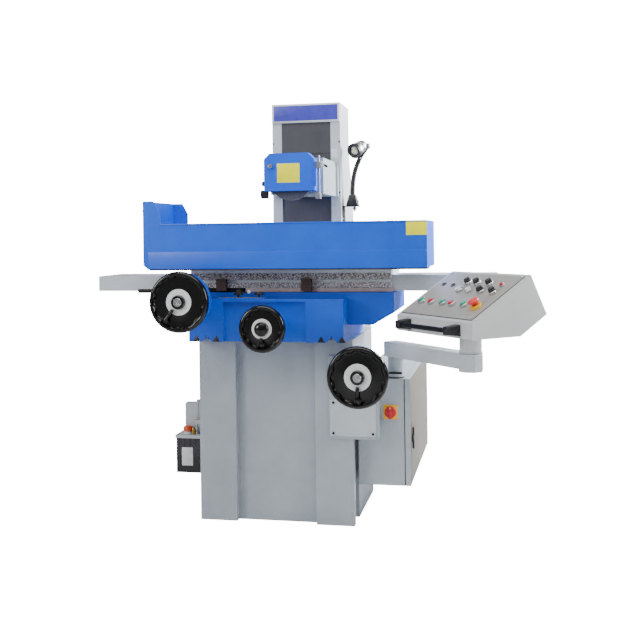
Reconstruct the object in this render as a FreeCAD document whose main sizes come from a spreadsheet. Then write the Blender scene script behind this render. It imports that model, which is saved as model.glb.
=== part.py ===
import FreeCAD, Part
import os
import re
import Sketcher
from FreeCAD import Placement, Rotation, Vector

# Surface grinder, 250 x 500 table class. Millimetres, X right, Y back, Z up.
# Z is zero on the floor, X is zero on the base's centre line, and the base's
# front face is at Y = -base_d. Every size below is one cell of the sheet.

SIZES = [
    # pedestal and the rear block the column stands on
    ("gap", 0.4, "running gap between pieces that slide"),
    ("base_w", 660, "pedestal width"),
    ("base_d", 550, "pedestal depth"),
    ("base_h", 765, "height of the guideway deck"),
    ("base_wall", 28, "casting wall"),
    ("pilaster_w", 160, "width of the two front pilasters"),
    ("recess_d", 30, "depth of the front panel between them"),
    ("niche_y", 417, "near edge of the side niche, forward of zero"),
    ("niche_w", 98, "width of the side niche"),
    ("niche_d", 15, "depth of the side niche"),
    ("rear_w", 430, "rear block width"),
    ("rear_d", 600, "rear block length behind zero"),
    ("deck_w", 620, "width of the guideway deck"),
    ("deck_t", 75, "thickness of the guideway deck"),
    ("deck_back", 125, "back end of the deck"),
    ("way_x", 262, "half the distance between the cross ways"),
    ("way_half", 25, "half width and height of a V way"),
    ("way_sink", 1, "how far a V way is sunk in its casting"),
    ("vee_gap", 0.6, "vertical gap over a V way"),
    # column
    ("col_w", 339, "column width"),
    ("col_front", 131, "front plane of the column"),
    ("col_top", 1842, "top of the column"),
    ("col_deep", 501, "back of the column low down"),
    ("col_thin", 381, "back of the column at the top"),
    ("taper_low", 1350, "height where the back starts to slope"),
    ("taper_top", 1600, "height where the slope ends"),
    ("slot_w", 244, "width of the open front"),
    ("col_wall", 20, "back and top wall of the column"),
    ("cap_h", 93, "height of the name board"),
    ("cap_t", 8, "thickness of the name board"),
    # covers in the column's open front
    ("cover_t", 2, "cover sheet thickness"),
    ("cover_step", 3, "distance from one cover to the next"),
    ("cover_back", 2, "first cover behind the column front"),
    ("cover_h", 147, "height of each upper cover"),
    ("skirt_h", 350, "height of the cover under the head"),
    ("shield_h", 365, "height of the fixed lower cover"),
    # saddle
    ("sad_l", 338, "apron block, left half"),
    ("sad_r", 312, "apron block, right half"),
    ("sad_front", 655, "front face of the apron"),
    ("sad_back", 150, "back face of the saddle"),
    ("apron_top", 940, "top of the apron block"),
    ("wing_x", 505, "half length of the saddle's table bed"),
    ("wing_low", 880, "lower corner of the bed's ends"),
    ("wing_under", 830, "underside of the bed"),
    ("wing_in", 420, "half length of the bed's flat underside"),
    ("wing_top", 962, "top of the bed"),
    ("wing_front", 560, "front face of the bed"),
    ("apron_cut_l", 189, "left edge of the sunk apron panel"),
    ("apron_cut_r", 156, "right edge of the sunk apron panel"),
    ("apron_cut_d", 15, "depth of the sunk apron panel"),
    ("tway_y", 380, "centre line of the table ways"),
    ("tway_off", 70, "half the distance between the table ways"),
    ("tway_half", 34, "half width and height of a table V way"),
    # table
    ("tab_l", 370, "table left end"),
    ("tab_r", 490, "table right end"),
    ("tab_front", 530, "table front face"),
    ("tab_back", 230, "table back face"),
    ("tab_low", 980, "table underside"),
    ("tab_top", 1065, "table top"),
    ("dog_slot_z", 1002, "lower edge of the slot for the dogs"),
    ("dog_slot_h", 12, "opening of that slot"),
    ("dog_slot_d", 9, "depth of the slot's neck"),
    ("tee_h", 22, "height of the slot's wide part"),
    ("tee_d", 9, "depth of the slot's wide part"),
    ("tslot_w", 14, "top T slot, neck width"),
    ("tslot_d", 14, "top T slot, neck depth"),
    ("tslot_in", 24, "top T slot, wide part"),
    ("cover_len", 428, "length of each way cover"),
    ("cover_y0", 515, "way cover front side"),
    ("cover_w", 250, "way cover width"),
    ("cover_z0", 966, "way cover lower edge"),
    ("cover_z1", 1031, "way cover top"),
    ("sheet", 3, "sheet metal thickness"),
    # dogs on the table front
    ("dog_w", 44, "dog width"),
    ("dog_h", 50, "dog height"),
    ("dog_d", 18, "dog depth in front of the table"),
    ("dog_z", 968, "dog lower edge"),
    ("dog_l_x", 230, "left dog, left of zero"),
    ("dog_r_x", 138, "right dog, right of zero"),
    ("tee_nut_h", 20, "height of a dog's tee nut"),
    ("tee_nut_w", 30, "length of a dog's tee nut"),
    # magnetic chuck
    ("chuck_x", 190, "chuck left end, left of zero"),
    ("chuck_len", 500, "chuck length"),
    ("chuck_w", 250, "chuck width"),
    ("chuck_h", 75, "chuck height"),
    ("chuck_lug", 20, "clamp lug at each end"),
    ("chuck_lug_h", 20, "height of the clamp lugs"),
    # splash guard
    ("sg_front", 664, "guard front face"),
    ("sg_l", 531, "guard left end"),
    ("sg_r", 651, "guard right end"),
    ("sg_top", 1253, "guard top edge"),
    ("sg_back", 300, "back edge of the guard's ends"),
    ("sg_tall", 1349, "top of the raised left end"),
    ("sg_cut_x", 512, "lower left corner cut, across"),
    ("sg_cut_z", 1082, "lower left corner cut, up"),
    ("sg_post", 485, "inner edge of the raised end at its top"),
    ("sg_knee_x", 459, "knee of the raised end, across"),
    ("sg_knee_z", 1302, "knee of the raised end, up"),
    ("sg_foot", 453, "foot of the raised end"),
    ("tray_lap", 15, "how far the tray lies on the table"),
    # wheel head
    ("wheel_x", 10, "wheel axis, right of zero"),
    ("wheel_z", 1455, "wheel axis height"),
    ("wheel_r", 100, "grinding wheel radius"),
    ("wheel_w", 20, "grinding wheel width"),
    ("wheel_y", 245, "wheel's middle plane, forward of zero"),
    ("wheel_bore", 15.9, "wheel bore radius"),
    ("box_l", 95, "spindle box left side, left of zero"),
    ("box_r", 150, "spindle box right side"),
    ("box_z0", 1385, "spindle box underside"),
    ("box_z1", 1548, "spindle box top"),
    ("box_front", 205, "spindle box front face"),
    ("plate_x", 160, "half width of the head's slide plate"),
    ("plate_t", 26, "thickness of the slide plate"),
    ("car_z0", 1400, "carriage underside"),
    ("car_z1", 1535, "carriage top"),
    ("car_back", 230, "back of the carriage"),
    ("spin_r", 30, "spindle bearing bore radius"),
    ("spin_gap", 0.05, "running clearance of shafts in bores"),
    ("spin_len", 220, "spindle length behind the guard"),
    ("nose_r", 24, "spindle nose radius"),
    ("flange_r", 42, "wheel flange radius"),
    ("flange_t", 7, "wheel flange thickness"),
    ("nut_r", 24, "wheel nut radius"),
    ("nut_t", 9, "wheel nut thickness"),
    # wheel guard
    ("g_side", 15, "wheel guard beyond the wheel at each side"),
    ("g_z0", 1397, "guard lower edge"),
    ("g_over", 11, "wheel guard above the wheel"),
    ("g_front", 290, "front face of the guard's door"),
    ("g_t", 4, "guard sheet"),
    ("g_cut_l", 25, "upper left corner cut"),
    ("g_cut_r", 30, "upper right corner cut"),
    ("g_hinge_r", 6, "guard door hinge barrel radius"),
    ("g_hinge_h", 26, "length of one hinge barrel"),
    ("pin_r", 2.5, "hinge pin radius"),
    ("knob_r", 9, "guard door knob radius"),
    ("knob_l", 14, "guard door knob length"),
    ("knob_x", 73, "guard door knob, left of zero"),
    ("knob_z", 1508, "guard door knob height"),
    # coolant nozzle
    ("cool_w", 25, "coolant block width"),
    ("cool_d", 26, "coolant block depth"),
    ("cool_z", 1496, "coolant block underside"),
    ("cool_h", 31, "coolant block height"),
    ("pipe_r", 4, "coolant pipe radius"),
    ("pipe_z", 1385, "lower end of the coolant pipe"),
    ("pipe_top", 1554, "upper end of the coolant pipe"),
    ("jet_w", 22, "coolant jet block width"),
    ("jet_h", 24, "coolant jet block height"),
    # handwheels
    ("tw_x", 309, "table wheel, left of zero"),
    ("tw_y", 846, "table wheel plane, forward of zero"),
    ("tw_z", 942, "table wheel height"),
    ("tw_r", 121.5, "table wheel radius"),
    ("tw_turn", 127, "turn of the table wheel at rest"),
    ("cw_x", 27, "cross wheel, right of zero"),
    ("cw_y", 846, "cross wheel plane, forward of zero"),
    ("cw_z", 839, "cross wheel height"),
    ("cw_r", 92.5, "cross wheel radius"),
    ("cw_turn", 90, "turn of the cross wheel at rest"),
    ("vw_off", 59, "head wheel, right of the base"),
    ("vw_y", 786, "head wheel plane, forward of zero"),
    ("vw_z", 649, "head wheel height"),
    ("vw_r", 121, "head wheel radius"),
    ("vw_turn", 90, "turn of the head wheel at rest"),
    ("hub_r", 32, "handwheel hub radius"),
    ("hub_front", 24, "hub face in front of the wheel plane"),
    ("hub_back", 14, "hub face behind the wheel plane"),
    ("web_front", 10, "web front face at the hub"),
    ("web_rim", 4, "web front face at the rim"),
    ("web_back", 2, "web back face at the hub"),
    ("rim_w", 18, "rim width"),
    ("rim_front", 20, "rim crest in front of the wheel plane"),
    ("rim_back", 8, "rim behind the wheel plane"),
    ("rim_round", 6, "rim corner"),
    ("shaft_r", 11, "handwheel shaft radius"),
    ("shaft_len", 60, "length of shaft behind the wheel plane"),
    ("shaft_len_c", 170, "length of the cross wheel's shaft"),
    ("lug_off", 32, "folding handle's pin inside the rim"),
    ("lug_y", 20, "folding handle's pin in front of the plane"),
    ("lug_w", 12, "handle lug length"),
    ("lug_t", 5, "handle lug thickness"),
    ("grip_r", 8, "folding handle radius"),
    ("grip_end", 36, "inner end of the folded handle"),
    ("grip_over", 7, "handle beyond its pin"),
    ("pin_len", 28, "handle pin length"),
    # the housings behind the handwheels
    ("th_r", 112, "table wheel housing radius"),
    ("th_y0", 830, "table wheel housing front"),
    ("th_t", 45, "table wheel housing thickness"),
    ("th_neck", 60, "radius of the neck behind the table wheel housing"),
    ("ch_r", 34, "cross wheel boss radius"),
    ("ch_y0", 828, "cross wheel boss front"),
    ("gear_l", 229, "feed gear case, left side"),
    ("gear_w", 102, "feed gear case, how far it stands out from the base"),
    ("gear_y", 560, "feed gear case front"),
    ("gear_back", 487.5, "feed gear case back, right of the base"),
    ("gear_z0", 360, "feed gear case bottom"),
    ("gear_z1", 700, "feed gear case top"),
    ("boss_r", 70, "head wheel boss radius"),
    ("boss_y", 770, "head wheel boss front"),
    ("plate_l", 235, "gear cover, left edge"),
    ("plate_w", 190, "gear cover width"),
    ("plate_z", 372, "gear cover bottom"),
    ("plate_h", 150, "gear cover height"),
    # electrical cabinet
    ("cab_off", 10, "space between the base and the cabinet"),
    ("cab_w", 193, "cabinet width behind the door"),
    ("cab_y0", 487, "cabinet front"),
    ("cab_y1", 320, "cabinet back"),
    ("cab_z0", 158, "cabinet bottom"),
    ("cab_z1", 600, "cabinet top"),
    ("cab_t", 3, "cabinet sheet"),
    ("door_t", 22, "cabinet door thickness"),
    ("door_gap", 2, "gap under the door"),
    ("door_rim", 3, "door rim"),
    ("hinge_r", 6, "cabinet hinge radius"),
    ("hinge_h", 40, "cabinet hinge knuckle length"),
    ("hinge_z1", 230, "lower cabinet hinge"),
    ("hinge_z2", 480, "upper cabinet hinge"),
    ("latch_y", 430, "door handle, forward of zero"),
    ("latch_z", 380, "door handle height"),
    ("latch_r", 12, "door handle hub radius"),
    ("latch_l", 80, "door handle length"),
    ("switch_off", 146, "main switch, right of the base"),
    ("switch_z", 462, "main switch height"),
    ("switch_w", 60, "main switch plate"),
    ("switch_r", 24, "main switch knob radius"),
    ("switch_t", 20, "main switch knob height"),
    # post, arm and console
    ("post_off", 166, "console post, right of the base"),
    ("post_y", 450, "console post, forward of zero"),
    ("post_r", 34, "console post radius"),
    ("post_z1", 690, "top of the console post"),
    ("stud_r", 18, "pivot stud radius"),
    ("lever_z", 625, "clamp lever height"),
    ("lever_r", 5, "clamp lever radius"),
    ("lever_l", 60, "clamp lever length"),
    ("arm_z1", 750, "top of the arm"),
    ("arm_w", 76, "arm width"),
    ("arm_end_r", 44, "radius of the arm's ends"),
    ("piv_off", 491, "console pivot, right of the base"),
    ("piv_y", 810, "console pivot, forward of zero"),
    ("neck_r", 42, "console neck radius"),
    ("con_off", 209.5, "console front left corner, right of the base"),
    ("con_y", 755.6, "console front left corner, forward of zero"),
    ("con_z", 889, "height of that corner"),
    ("con_yaw", 49, "how far the console faces left"),
    ("con_w", 455, "console width"),
    ("con_h", 59, "console front height"),
    ("con_d1", 271, "depth at the top edge"),
    ("con_z1", 159, "rise of the top edge"),
    ("con_d2", 345, "full depth"),
    ("con_z2", 13.5, "height of the back edge over the corner"),
    ("con_d3", 219, "depth where the underside turns up"),
    ("con_t", 2.5, "console sheet"),
    ("panel_in", 22, "console rim round the panel"),
    ("window_h", 40, "half height of the cutter for the panel's window"),
    ("panel_t", 3, "panel thickness"),
    ("panel_lap", 6, "how far the panel laps the rim"),
    ("row_1", 90, "lower row of controls, up the slope"),
    ("row_2", 181, "middle row"),
    ("row_3", 231, "upper row"),
    ("col_1", 41, "first column of controls, from the panel's left edge"),
    ("col_2", 101, "second column"),
    ("col_3", 172, "third column"),
    ("col_4", 226, "fourth column"),
    ("col_5", 296, "fifth column"),
    ("col_6", 364, "sixth column"),
    ("bezel_r", 15, "control bezel radius"),
    ("bezel_h", 5, "control bezel height"),
    ("key_r", 11, "push button radius"),
    ("key_h", 8, "push button above the panel"),
    ("key_in", 12, "push button below the panel"),
    ("knob_h", 8, "selector disc height above the bezel"),
    ("grip_w", 7, "selector grip width"),
    ("grip_l", 26, "selector grip length"),
    ("grip_h", 10, "selector grip height"),
    ("stop_r", 20, "emergency stop head radius"),
    ("stop_h", 12, "emergency stop head thickness"),
    ("stop_up", 18, "emergency stop head over the panel"),
    ("rail_r", 9, "console handle tube radius"),
    ("rail_off", 42, "console handle in front of the console"),
    ("rail_l", 330, "console handle length"),
    ("rail_block", 34, "console handle end block"),
    # work lamp
    ("lamp_x", 180, "lamp bracket, right of zero"),
    ("lamp_y", 200, "lamp bracket centre, behind zero"),
    ("lamp_z", 1261, "lamp bracket bottom"),
    ("lamp_h", 78, "lamp bracket height"),
    ("lamp_w", 60, "lamp base width"),
    ("lamp_base_h", 56, "lamp base height"),
    ("neck_x", 216, "gooseneck, right of zero"),
    ("goose_r", 8, "gooseneck radius"),
    ("goose_mid", 1450, "height where the gooseneck leans"),
    ("goose_x", 293, "gooseneck top, right of zero"),
    ("goose_z", 1600, "gooseneck top height"),
    ("head_r", 36, "lamp head radius"),
    ("head_t", 45, "lamp head thickness"),
    ("goose_top", 40, "straight top of the gooseneck"),
    ("collar_r", 14, "lamp head collar radius"),
    ("collar_h", 20, "lamp head collar height"),
    ("head_off", 57, "lamp head beside its collar"),
    # lubricator
    ("tank_off", 198, "oil tank left side, left of the base"),
    ("tank_w", 183, "oil tank width"),
    ("tank_y", 300, "oil tank front, forward of zero"),
    ("tank_d", 100, "oil tank depth"),
    ("tank_z0", 130, "oil tank bottom"),
    ("tank_z1", 286, "oil tank top"),
    ("tank_t", 3, "oil tank wall"),
    ("lid_h", 14, "lubricator plate height"),
    ("pump_h", 136, "lubricator pump box height"),
    ("pump_w", 158, "lubricator pump box width"),
    ("pump_d", 42, "lubricator pump box depth"),
    ("cap_r", 20, "filler cap radius"),
    ("cap_hh", 24, "filler cap height"),
    ("cap_off", 152, "filler cap, left of the base"),
    ("neck_h", 20, "filler neck height"),
    # levers on the apron
    ("rev_x", 130, "reversing lever, left of zero"),
    ("rev_y", 628, "apron levers, forward of zero"),
    ("rev_r", 7, "reversing lever's stem radius"),
    ("rev_h", 26, "height of the stem"),
    ("rev_l", 62, "reversing lever length"),
    ("flow_x", 43, "flow knob, left of zero"),
    ("flow_r", 19, "flow knob radius"),
    ("flow_h", 22, "flow knob height"),
    ("valve_l", 210, "valve plate left end, left of zero"),
    ("valve_w", 192, "valve plate length"),
    ("valve_d", 50, "valve plate depth"),
    ("valve_t", 6, "valve plate thickness"),
]

# Places that follow other sizes, so that the pieces stay together.
FOLLOWS = {
    "cab_l": "(base_w/2+cab_off)",
    "cab_r": "(base_w/2+cab_off+cab_w)",
    "post_x": "(base_w/2+post_off)",
    "switch_x": "(base_w/2+switch_off)",
    "gear_r": "(base_w/2+gear_w)",
    "vw_x": "(base_w/2+vw_off)",
    "piv_x": "(base_w/2+piv_off)",
    "con_x": "(base_w/2+con_off+con_w*cos(con_yaw))",
    "con_y1": "(con_y+con_w*sin(con_yaw))",
    "tank_x": "(base_w/2+tank_off)",
    "cap_x": "(base_w/2+cap_off)",
    "g_l": "(wheel_r+g_side-wheel_x)",
    "g_r": "(wheel_r+g_side+wheel_x)",
    "g_z1": "(wheel_z+wheel_r+g_over)",
}

os.makedirs("parts", exist_ok=True)
doc = FreeCAD.newDocument("Grinder")
sheet = doc.addObject("Spreadsheet::Sheet", "Sizes")
ALIASES = set()
for row, (alias, value, note) in enumerate(SIZES, start=1):
    sheet.set("A" + str(row), alias)
    sheet.set("B" + str(row), str(value))
    sheet.set("C" + str(row), note)
    sheet.setAlias("B" + str(row), alias)
    ALIASES.add(alias)
doc.recompute()

WORD = re.compile(r"[A-Za-z_][A-Za-z_0-9]*")
NODES = []
TO_X = Rotation(Vector(0, 1, 0), 90)
TO_Y = Rotation(Vector(1, 0, 0), -90)
TO_Z = Rotation()
STAND_XZ = Rotation(Vector(1, 0, 0), 90)
STAND_YZ = Rotation(Vector(1, 1, 1), 120)
CONSOLE_AT = "vector(con_x;-con_y1;con_z)"
SLOPE = "atan(con_z1/con_d1)"
FACE_L = "sqrt(con_d1^2+con_z1^2)"


def sized(text):
    """Turn words of the size sheet into references to its cells."""
    text = WORD.sub(lambda word: FOLLOWS.get(word.group(0), word.group(0)), str(text))
    swap = lambda word: "Sizes." + word.group(0) if word.group(0) in ALIASES else word.group(0)
    return WORD.sub(swap, text)


def bind(thing, prop, text):
    thing.setExpression(prop, sized(text))


def place(thing, x, y, z):
    bind(thing, "Placement.Base.x", x)
    bind(thing, "Placement.Base.y", y)
    bind(thing, "Placement.Base.z", z)


def box(x, y, z, length, width, height):
    piece = doc.addObject("Part::Box", "block")
    bind(piece, "Length", length)
    bind(piece, "Width", width)
    bind(piece, "Height", height)
    place(piece, x, y, z)
    return piece


def rod(x, y, z, radius, length, along=TO_Z):
    """A cylinder that starts at x, y, z and runs the given way."""
    piece = doc.addObject("Part::Cylinder", "rod")
    bind(piece, "Radius", radius)
    bind(piece, "Height", length)
    piece.Placement = Placement(Vector(), along)
    place(piece, x, y, z)
    return piece


def outline(points, stand):
    """A closed sketch whose corners are all bound to sizes."""
    sketch = doc.addObject("Sketcher::SketchObject", "outline")
    sketch.Placement = Placement(Vector(), stand)
    values = [(number(x), number(y)) for x, y in points]
    count = len(points)
    for here in range(count):
        start = Vector(values[here][0], values[here][1], 0)
        after = values[(here + 1) % count]
        sketch.addGeometry(Part.LineSegment(start, Vector(after[0], after[1], 0)), False)
    for here in range(count):
        sketch.addConstraint(Sketcher.Constraint("Coincident", here, 2, (here + 1) % count, 1))
    for here in range(count):
        for kind, axis in (("DistanceX", 0), ("DistanceY", 1)):
            rule = Sketcher.Constraint(kind, -1, 1, here, 1, values[here][axis])
            index = sketch.addConstraint(rule)
            bind(sketch, "Constraints[" + str(index) + "]", points[here][axis])
    return sketch


def number(text):
    """The present value of a size expression."""
    return float(sheet.evalExpression(sized(text).replace("Sizes.", "")))


def slab(points, stand, way, start, length):
    """An outline pulled out along one axis, from start."""
    sketch = outline(points, stand)
    axis = "xyz"[[abs(part) > 0 for part in way].index(True)]
    bind(sketch, "Placement.Base." + axis, start)
    piece = doc.addObject("Part::Extrusion", "slab")
    piece.Base = sketch
    piece.DirMode = "Custom"
    piece.Dir = Vector(way)
    piece.Solid = True
    bind(piece, "LengthFwd", length)
    return piece


def front_slab(points, start, length):
    """Corners are X and Z; the slab runs back from Y = start."""
    return slab(points, STAND_XZ, (0, 1, 0), start, length)


def side_slab(points, start, length):
    """Corners are Y and Z; the slab runs right from X = start."""
    return slab(points, STAND_YZ, (1, 0, 0), start, length)


def join(pieces):
    if len(pieces) == 1:
        return pieces[0]
    union = doc.addObject("Part::MultiFuse", "union")
    union.Shapes = pieces
    union.Refine = True
    return union


def node(name, solid_pieces, cutters=()):
    """One named piece: the union of its solids less the cutters."""
    whole = join(list(solid_pieces))
    if cutters:
        cut = doc.addObject("Part::Cut", "cut")
        cut.Base = whole
        cut.Tool = join(list(cutters))
        cut.Refine = True
        whole = cut
    whole.Label = name
    NODES.append(whole)
    return whole


def group(name, pieces):
    """Pieces kept separate under one name, placed as one."""
    several = doc.addObject("Part::Compound", "several")
    several.Links = list(pieces)
    several.Label = name
    NODES.append(several)
    return several


def vee(middle, half, base, rise):
    """Corners of a V way: half width, the height of its foot and how far it is lifted."""
    left = "{}-({})".format(middle, half)
    right = "{}+({})".format(middle, half)
    foot = "{}+{}".format(base, rise)
    peak = "{}+{}+({})".format(base, rise, half)
    return [(left, foot), (right, foot), (middle, peak)]


def face_turn(thing):
    """Set a console piece, drawn flat, on the sloping face."""
    turn = "rotation(-con_yaw;0;" + SLOPE + ")"
    bind(thing, "Placement", "placement(" + CONSOLE_AT + ";" + turn + ")")


def console_turn(thing):
    """Set a console piece, drawn square, at the console's angle."""
    bind(thing, "Placement", "placement(" + CONSOLE_AT + ";rotation(-con_yaw;0;0))")


def wheel_turn(thing, key):
    """Set a handwheel piece on its axis, turned as the wheel rests."""
    spot = "vector({0}*{1}_x;-{1}_y;{1}_z)".format(WHEEL_SIDE[key], key)
    bind(thing, "Placement", "placement(" + spot + ";rotation(0;" + key + "_turn;0))")


# ---------------------------------------------------------------- base
pedestal = box("-base_w/2", "-base_d", 0, "base_w", "base_d", "base_h")
rear_block = box("-rear_w/2", "-base_wall", 0, "rear_w", "rear_d+base_wall", "base_h")
deck = box("-deck_w/2", "-base_wall", "base_h-deck_t", "deck_w", "deck_back+base_wall", "deck_t")
way_len = "base_d+deck_back-2"
ways = []
for side in ("-way_x", "way_x"):
    ways.append(front_slab(vee(side, "way_half", "base_h", "-way_sink"), "1-base_d", way_len))
front_panel = box("pilaster_w-base_w/2", "-base_d-1", -1, "base_w-2*pilaster_w", "recess_d+1",
                  "base_h+2")
niche = box("base_w/2-niche_d", "-niche_y-niche_w", -1, "niche_d+1", "niche_w", "base_h-deck_t+1")
hollow = box("base_wall-base_w/2", "-base_d+recess_d+base_wall", -1, "base_w-2*base_wall",
             "base_d-recess_d-2*base_wall", "base_h-deck_t+1")
rear_hollow = box("base_wall-rear_w/2", "base_wall/2", -1, "rear_w-2*base_wall",
                  "rear_d-1.5*base_wall", "base_h-deck_t+1")
node("base_casting", [pedestal, rear_block, deck] + ways,
     [front_panel, niche, hollow, rear_hollow])

# ---------------------------------------------------------------- column
outer = [("col_front", "base_h"), ("col_deep", "base_h"), ("col_deep", "taper_low"),
         ("col_thin", "taper_top"), ("col_thin", "col_top"), ("col_front", "col_top")]
deep_in = "col_deep-col_wall"
thin_in = "col_thin-col_wall"
roof_in = "col_top-col_wall"
inner = [("col_front-1", "base_h-1"), (deep_in, "base_h-1"), (deep_in, "taper_low-5"),
         (thin_in, "taper_top-5"), (thin_in, roof_in), ("col_front-1", roof_in)]
node("column_casting", [side_slab(outer, "-col_w/2", "col_w")],
     [side_slab(inner, "-slot_w/2", "slot_w")])
node("column_name_board", [box("-col_w/2+1", "col_front-cap_t", "col_top-cap_h", "col_w-2",
                               "cap_t", "cap_h")])


def cover(name, level, z, height):
    """A sheet in the column's open front; a higher level lies deeper."""
    y = "col_front+cover_back+{}*cover_step".format(level)
    return node(name, [box("-slot_w/2+gap", y, z, "slot_w-2*gap", "cover_t", height)])


top_cover_z = "col_top-cap_h-cover_h-4"
fixed = box("-slot_w/2", "col_front+cover_back", top_cover_z, "slot_w", "cover_t", "cover_h+4")
shield = box("-slot_w/2", "col_front+cover_back", "base_h", "slot_w", "cover_t", "shield_h")
group("column_covers_fixed", [fixed, shield])
cover("column_cover_middle", 1, "(" + top_cover_z + "+car_z1)/2", "cover_h")

# ---------------------------------------------------------------- feed gear case
case_right = box("base_w/2", "-gear_y", "gear_z0", "gear_r-base_w/2", "gear_y-gear_back",
                 "gear_z1-gear_z0")
case_front = box("gear_l", "-gear_y", "gear_z0", "gear_r-gear_l", "gear_y-base_d",
                 "gear_z1-gear_z0")
boss = rod("vw_x", "-boss_y", "vw_z", "boss_r", "boss_y-gear_y+1", TO_Y)
boss_bore = rod("vw_x", "-boss_y-1", "vw_z", "shaft_r+spin_gap", "shaft_len+30", TO_Y)
node("feed_gear_case", [case_right, case_front, boss], [boss_bore])
node("feed_gear_cover", [box("plate_l", "-gear_y-sheet", "plate_z", "plate_w", "sheet",
                             "plate_h")])

# ---------------------------------------------------------------- electrical cabinet
cab_shell = box("cab_l", "-cab_y0", "cab_z0", "cab_r-cab_l", "cab_y0+cab_y1", "cab_z1-cab_z0")
cab_room = box("cab_l+cab_t", "-cab_y0+cab_t", "cab_z0+cab_t", "cab_r-cab_l", "cab_y0+cab_y1-2*cab_t",
               "cab_z1-cab_z0-2*cab_t")
switch_hole = rod("switch_x", "-cab_y0-1", "switch_z", "key_r+gap", "cab_t+2", TO_Y)
foot = box("base_w/2", "-rear_w/2", "cab_z0", "cab_l-base_w/2+1", "rear_w/2", "cab_z1-cab_z0")
knuckles = []
pins = []
hinge_x = "cab_r+door_gap+hinge_r"
hinge_y = "cab_y1+hinge_r"
for z in ("hinge_z1", "hinge_z2"):
    leaf = box("cab_r-cab_t", "cab_y1-1", z, "hinge_r+door_gap+cab_t", "hinge_r", "hinge_h/2")
    knuckles += [leaf, rod(hinge_x, hinge_y, z, "hinge_r", "hinge_h/2")]
    pins.append(rod(hinge_x, hinge_y, z, "pin_r", "hinge_h"))
node("electrical_cabinet", [cab_shell, foot] + knuckles + pins, [cab_room, switch_hole])

door = box("cab_r+door_gap", "-cab_y0", "cab_z0", "door_t", "cab_y0+cab_y1-1", "cab_z1-cab_z0")
door_room = box("cab_r+door_gap-1", "-cab_y0+door_rim", "cab_z0+door_rim", "door_t-door_rim+1",
                "cab_y0+cab_y1-1-2*door_rim", "cab_z1-cab_z0-2*door_rim")
door_knuckles = []
pin_holes = []
for z in ("hinge_z1", "hinge_z2"):
    door_knuckles.append(rod(hinge_x, hinge_y, z + "+hinge_h/2+gap", "hinge_r", "hinge_h/2"))
    door_knuckles.append(box("cab_r+door_gap+hinge_r", "cab_y1-3", z + "+hinge_h/2+gap", "hinge_r",
                             "hinge_r", "hinge_h/2"))
    pin_holes.append(rod(hinge_x, hinge_y, z + "-1", "pin_r+spin_gap", "hinge_h+3"))
latch_hole = rod("cab_r-door_t", "-latch_y", "latch_z", "latch_r+spin_gap", "3*door_t", TO_X)
hinge_room = box("cab_r+door_gap-1", "cab_y1-4", "hinge_z1-1", "2*hinge_r", "8", "hinge_h/2+1")
hinge_room_2 = box("cab_r+door_gap-1", "cab_y1-4", "hinge_z2-1", "2*hinge_r", "8", "hinge_h/2+1")
node("cabinet_door", [door] + door_knuckles,
     [door_room, latch_hole, hinge_room, hinge_room_2] + pin_holes)
latch_x = "cab_r+door_gap+door_t"
node("door_handle", [rod("cab_r+door_gap+2", "-latch_y", "latch_z", "latch_r", "door_t+4", TO_X),
                     box(latch_x + "+gap", "-latch_y-latch_r", "latch_z-latch_l", "10",
                         "2*latch_r", "latch_l+latch_r")])
node("main_switch_knob", [rod("switch_x", "-cab_y0-gap-switch_t/2", "switch_z", "switch_r",
                              "switch_t/2", TO_Y),
                          rod("switch_x", "-cab_y0-gap-1", "switch_z", "key_r", "30", TO_Y),
                          box("switch_x-grip_w", "-cab_y0-gap-switch_t",
                              "switch_z-switch_r+2", "2*grip_w", "switch_t/2+1",
                              "2*switch_r-4")])

# ---------------------------------------------------------------- post, arm and console
stud_y = "-post_y-post_r-2*lever_r"
node("console_post", [rod("post_x", "-post_y", "cab_z1", "post_r", "post_z1-cab_z1"),
                      rod("post_x", "-post_y", "post_z1-1", "stud_r", "arm_z1-post_z1-8")],
     [rod("post_x", stud_y, "lever_z", "lever_r+spin_gap", "post_r+2*lever_r", TO_Y)])
arm_turn = "atan((piv_y-post_y)/(piv_x-post_x))"
beam = box("0", "-arm_w/2", "0", "sqrt((piv_x-post_x)^2+(piv_y-post_y)^2)", "arm_w",
           "arm_z1-post_z1-gap")
beam_at = "vector(post_x+arm_w/2*sin(-{0});-post_y-arm_w/2*cos({0});post_z1+gap)".format(arm_turn)
bind(beam, "Placement", "placement(" + beam_at + ";rotation(-" + arm_turn + ";0;0))")
arm_h = "arm_z1-post_z1-gap"
node("console_arm", [beam,
                     rod("post_x", "-post_y", "post_z1+gap", "arm_end_r", arm_h),
                     rod("piv_x", "-piv_y", "post_z1-8", "arm_end_r", "arm_z1-post_z1+8"),
                     rod("piv_x", "-piv_y", "arm_z1-1", "stud_r", "con_z-con_h-arm_z1-6")],
     [rod("post_x", "-post_y", "post_z1-1", "stud_r+spin_gap", "arm_z1-post_z1-4")])
node("post_clamp_lever", [rod("post_x-lever_l/2", stud_y, "lever_z", "lever_r", "lever_l", TO_X),
                          rod("post_x", stud_y, "lever_z", "lever_r", "post_r+lever_r", TO_Y)])

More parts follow.
